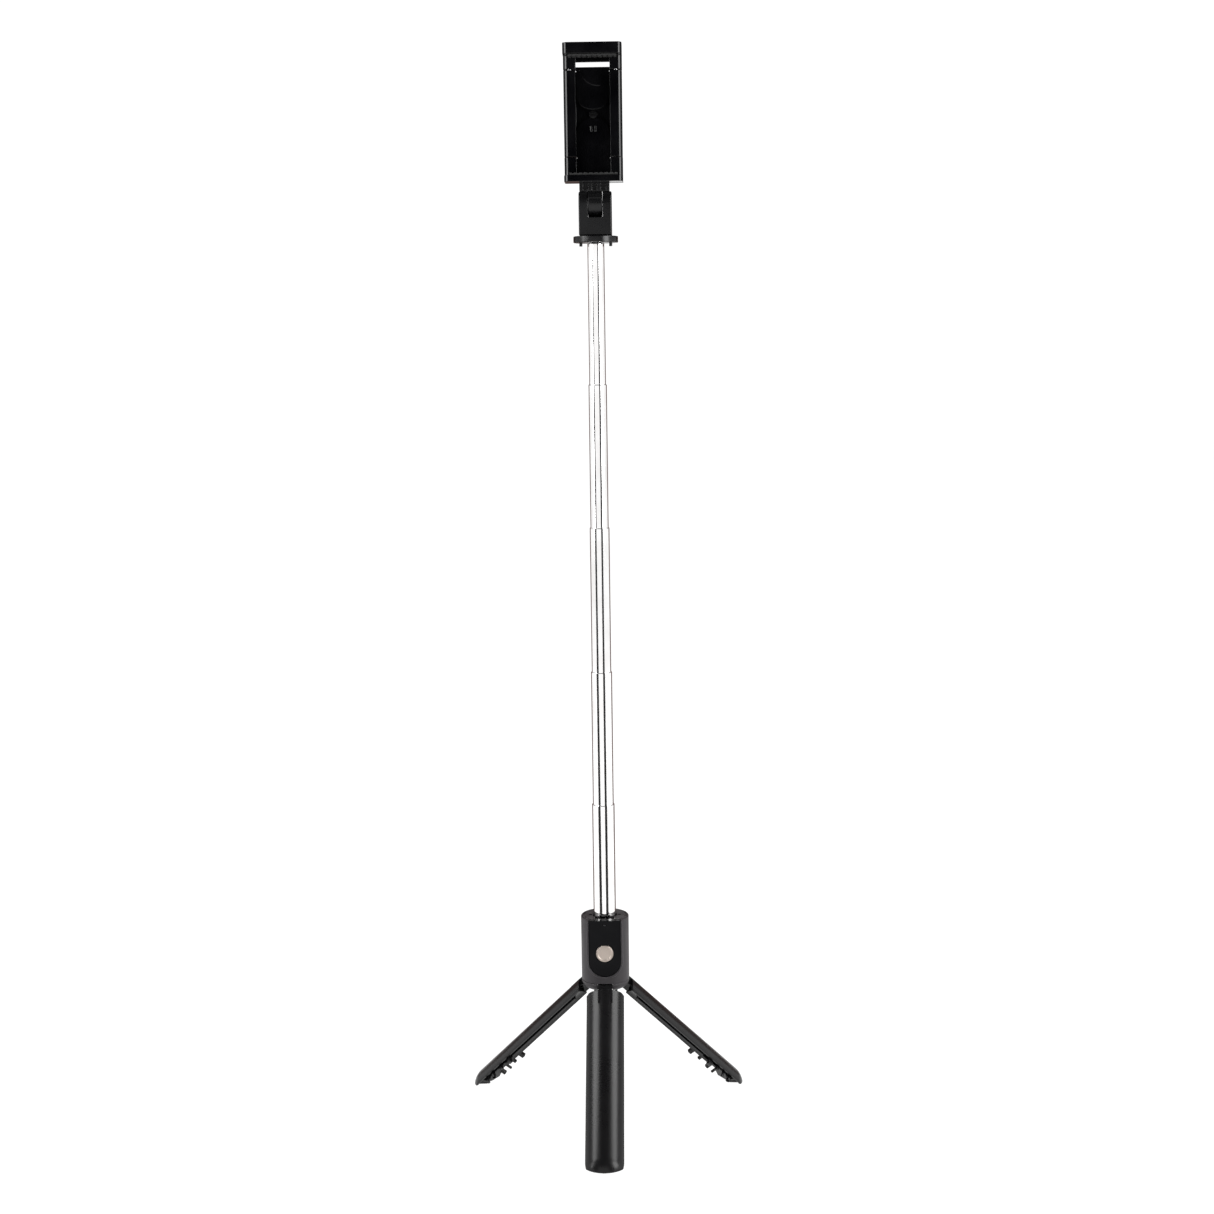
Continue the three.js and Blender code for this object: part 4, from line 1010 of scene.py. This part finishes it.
def camera():
    """The viewpoint: 1.2 m away, 0.5 m up, looking slightly down at the stick."""
    distance, height = 1.2019, 0.4954
    azimuth, heading, pitch, roll = [math.radians(a) for a in (1.3, 1.1, 90 - 9.2, -0.74)]
    data = bpy.data.cameras.new("camera")
    data.lens = 57.84
    data.sensor_width = 36
    data.shift_x = -0.0008
    data.shift_y = 0.0356
    made = bpy.data.objects.new("camera", data)
    bpy.context.scene.collection.objects.link(made)
    away = Vector((math.sin(azimuth), -math.cos(azimuth), 0))
    made.location = POLE + away * distance + Vector((0, 0, height))
    aim = Matrix.Rotation(heading, 4, "Z") @ Matrix.Rotation(pitch, 4, "X")
    made.rotation_euler = (aim @ Matrix.Rotation(roll, 4, "Z")).to_euler()
    bpy.context.scene.camera = made


def card(name, azimuths, half_turns, low, high, color):
    """An upright curved card round the object, seen only in reflections.
    The azimuths and half turns are those of its lower and upper edge."""
    points = []
    steps = 8
    for k in range(steps + 1):
        for azimuth, half_turn, z in zip(azimuths, half_turns, (low, high)):
            angle = math.radians(azimuth - half_turn + 2 * half_turn * k / steps)
            points.append((CARD_DISTANCE * math.sin(angle), -CARD_DISTANCE * math.cos(angle), z))
    faces = [(2 * k, 2 * k + 1, 2 * k + 3, 2 * k + 2) for k in range(steps)]
    made = new_piece(name, points, faces)
    made.location = POLE
    material = bpy.data.materials.new(name)
    material.use_nodes = True
    nodes = material.node_tree.nodes
    glow = nodes.new("ShaderNodeEmission")
    glow.inputs["Color"].default_value = (*color, 1)
    material.node_tree.links.new(glow.outputs[0], nodes["Material Output"].inputs["Surface"])
    made.data.materials.append(material)
    made.visible_camera = False
    made.visible_diffuse = False


def lamp(name, azimuth, elevation, distance, size, power, glossy=True):
    data = bpy.data.lights.new(name, "AREA")
    data.shape = "RECTANGLE"
    data.size, data.size_y = size
    data.energy = power
    made = bpy.data.objects.new(name, data)
    bpy.context.scene.collection.objects.link(made)
    a, e = math.radians(azimuth), math.radians(elevation)
    away = Vector((math.sin(a) * math.cos(e), -math.cos(a) * math.cos(e), math.sin(e)))
    made.location = LAMP_TARGET + away * distance
    made.rotation_euler = away.to_track_quat("Z", "Y").to_euler()
    made.visible_camera = False
    made.visible_glossy = glossy


def studio():
    world = bpy.data.worlds.new("studio")
    bpy.context.scene.world = world
    world.use_nodes = True
    nodes, links = world.node_tree.nodes, world.node_tree.links
    place = nodes.new("ShaderNodeTexCoord")
    split = nodes.new("ShaderNodeSeparateXYZ")
    links.new(place.outputs["Generated"], split.inputs[0])
    ramp = nodes.new("ShaderNodeMapRange")
    ramp.inputs["From Min"].default_value = 0.25
    ramp.inputs["From Max"].default_value = 0.5
    ramp.inputs["To Min"].default_value = 1.05
    ramp.inputs["To Max"].default_value = 0.06
    links.new(split.outputs["Z"], ramp.inputs["Value"])
    links.new(ramp.outputs["Result"], nodes["Background"].inputs["Color"])
    nodes["Background"].inputs["Strength"].default_value = 1.0

    floor = turned([(0, -0.02), (8, -0.02), (8, 0), (0, 0)], 96, "floor")
    material = bpy.data.materials.new("floor")
    material.use_nodes = True
    shader = material.node_tree.nodes["Principled BSDF"]
    shader.inputs["Base Color"].default_value = (0.12, 0.12, 0.12, 1)
    shader.inputs["Emission Color"].default_value = (1, 1, 1, 1)
    shader.inputs["Emission Strength"].default_value = 1.0
    shader.inputs["Roughness"].default_value = 0.9
    shader.inputs["Specular IOR Level"].default_value = 0.0
    floor.data.materials.append(material)
    floor.location.z = -0.0003

    for side in (-1, 1):
        lamp(f"low_softbox_{side}", side * 58, 12, 1.5, (0.7, 0.9), 17)
        lamp(f"high_softbox_{side}", side * 86, 40, 1.5, (0.8, 0.8), 16)
        azimuths = (side * 152, side * 152)
        card(f"back_flag_{side}", azimuths, (24, 26), 0.001, CARD_TOP, (0.16, 0.11, 0.1))
    lamp("overhead", 0, 89, 2.4, (3.0, 3.0), 20, glossy=False)
    card("left_flag", (-37.2, -53.7), (14.0, 7.5), 0.001, CARD_TOP, (0.03, 0.03, 0.03))
    card("right_flag", (28.3, 28.3), (13.0, 7.5), 0.001, CARD_TOP, (0.03, 0.03, 0.03))
    card("clamp_shade_front", (0, 0), (38, 38), SHADE_LOW, SHADE_HIGH, (0.0, 0.0, 0.0))
    card("clamp_shade_back", (180, 180), (84, 84), SHADE_LOW, SHADE_HIGH, (0.0, 0.0, 0.0))


camera()
finish_cad_nodes()
for make in (
    hub_shell, hub_base, hub_cap, legs, pole,
    remote_front, remote_back, remote_button,
    top_disc, neck_fork, tilt_screw, tilt_arm,
    clamp_frame, jaws, back_pad, swivel_screw, rods_and_springs,
):
    make()
studio()
bpy.context.scene.view_settings.view_transform = "Standard"
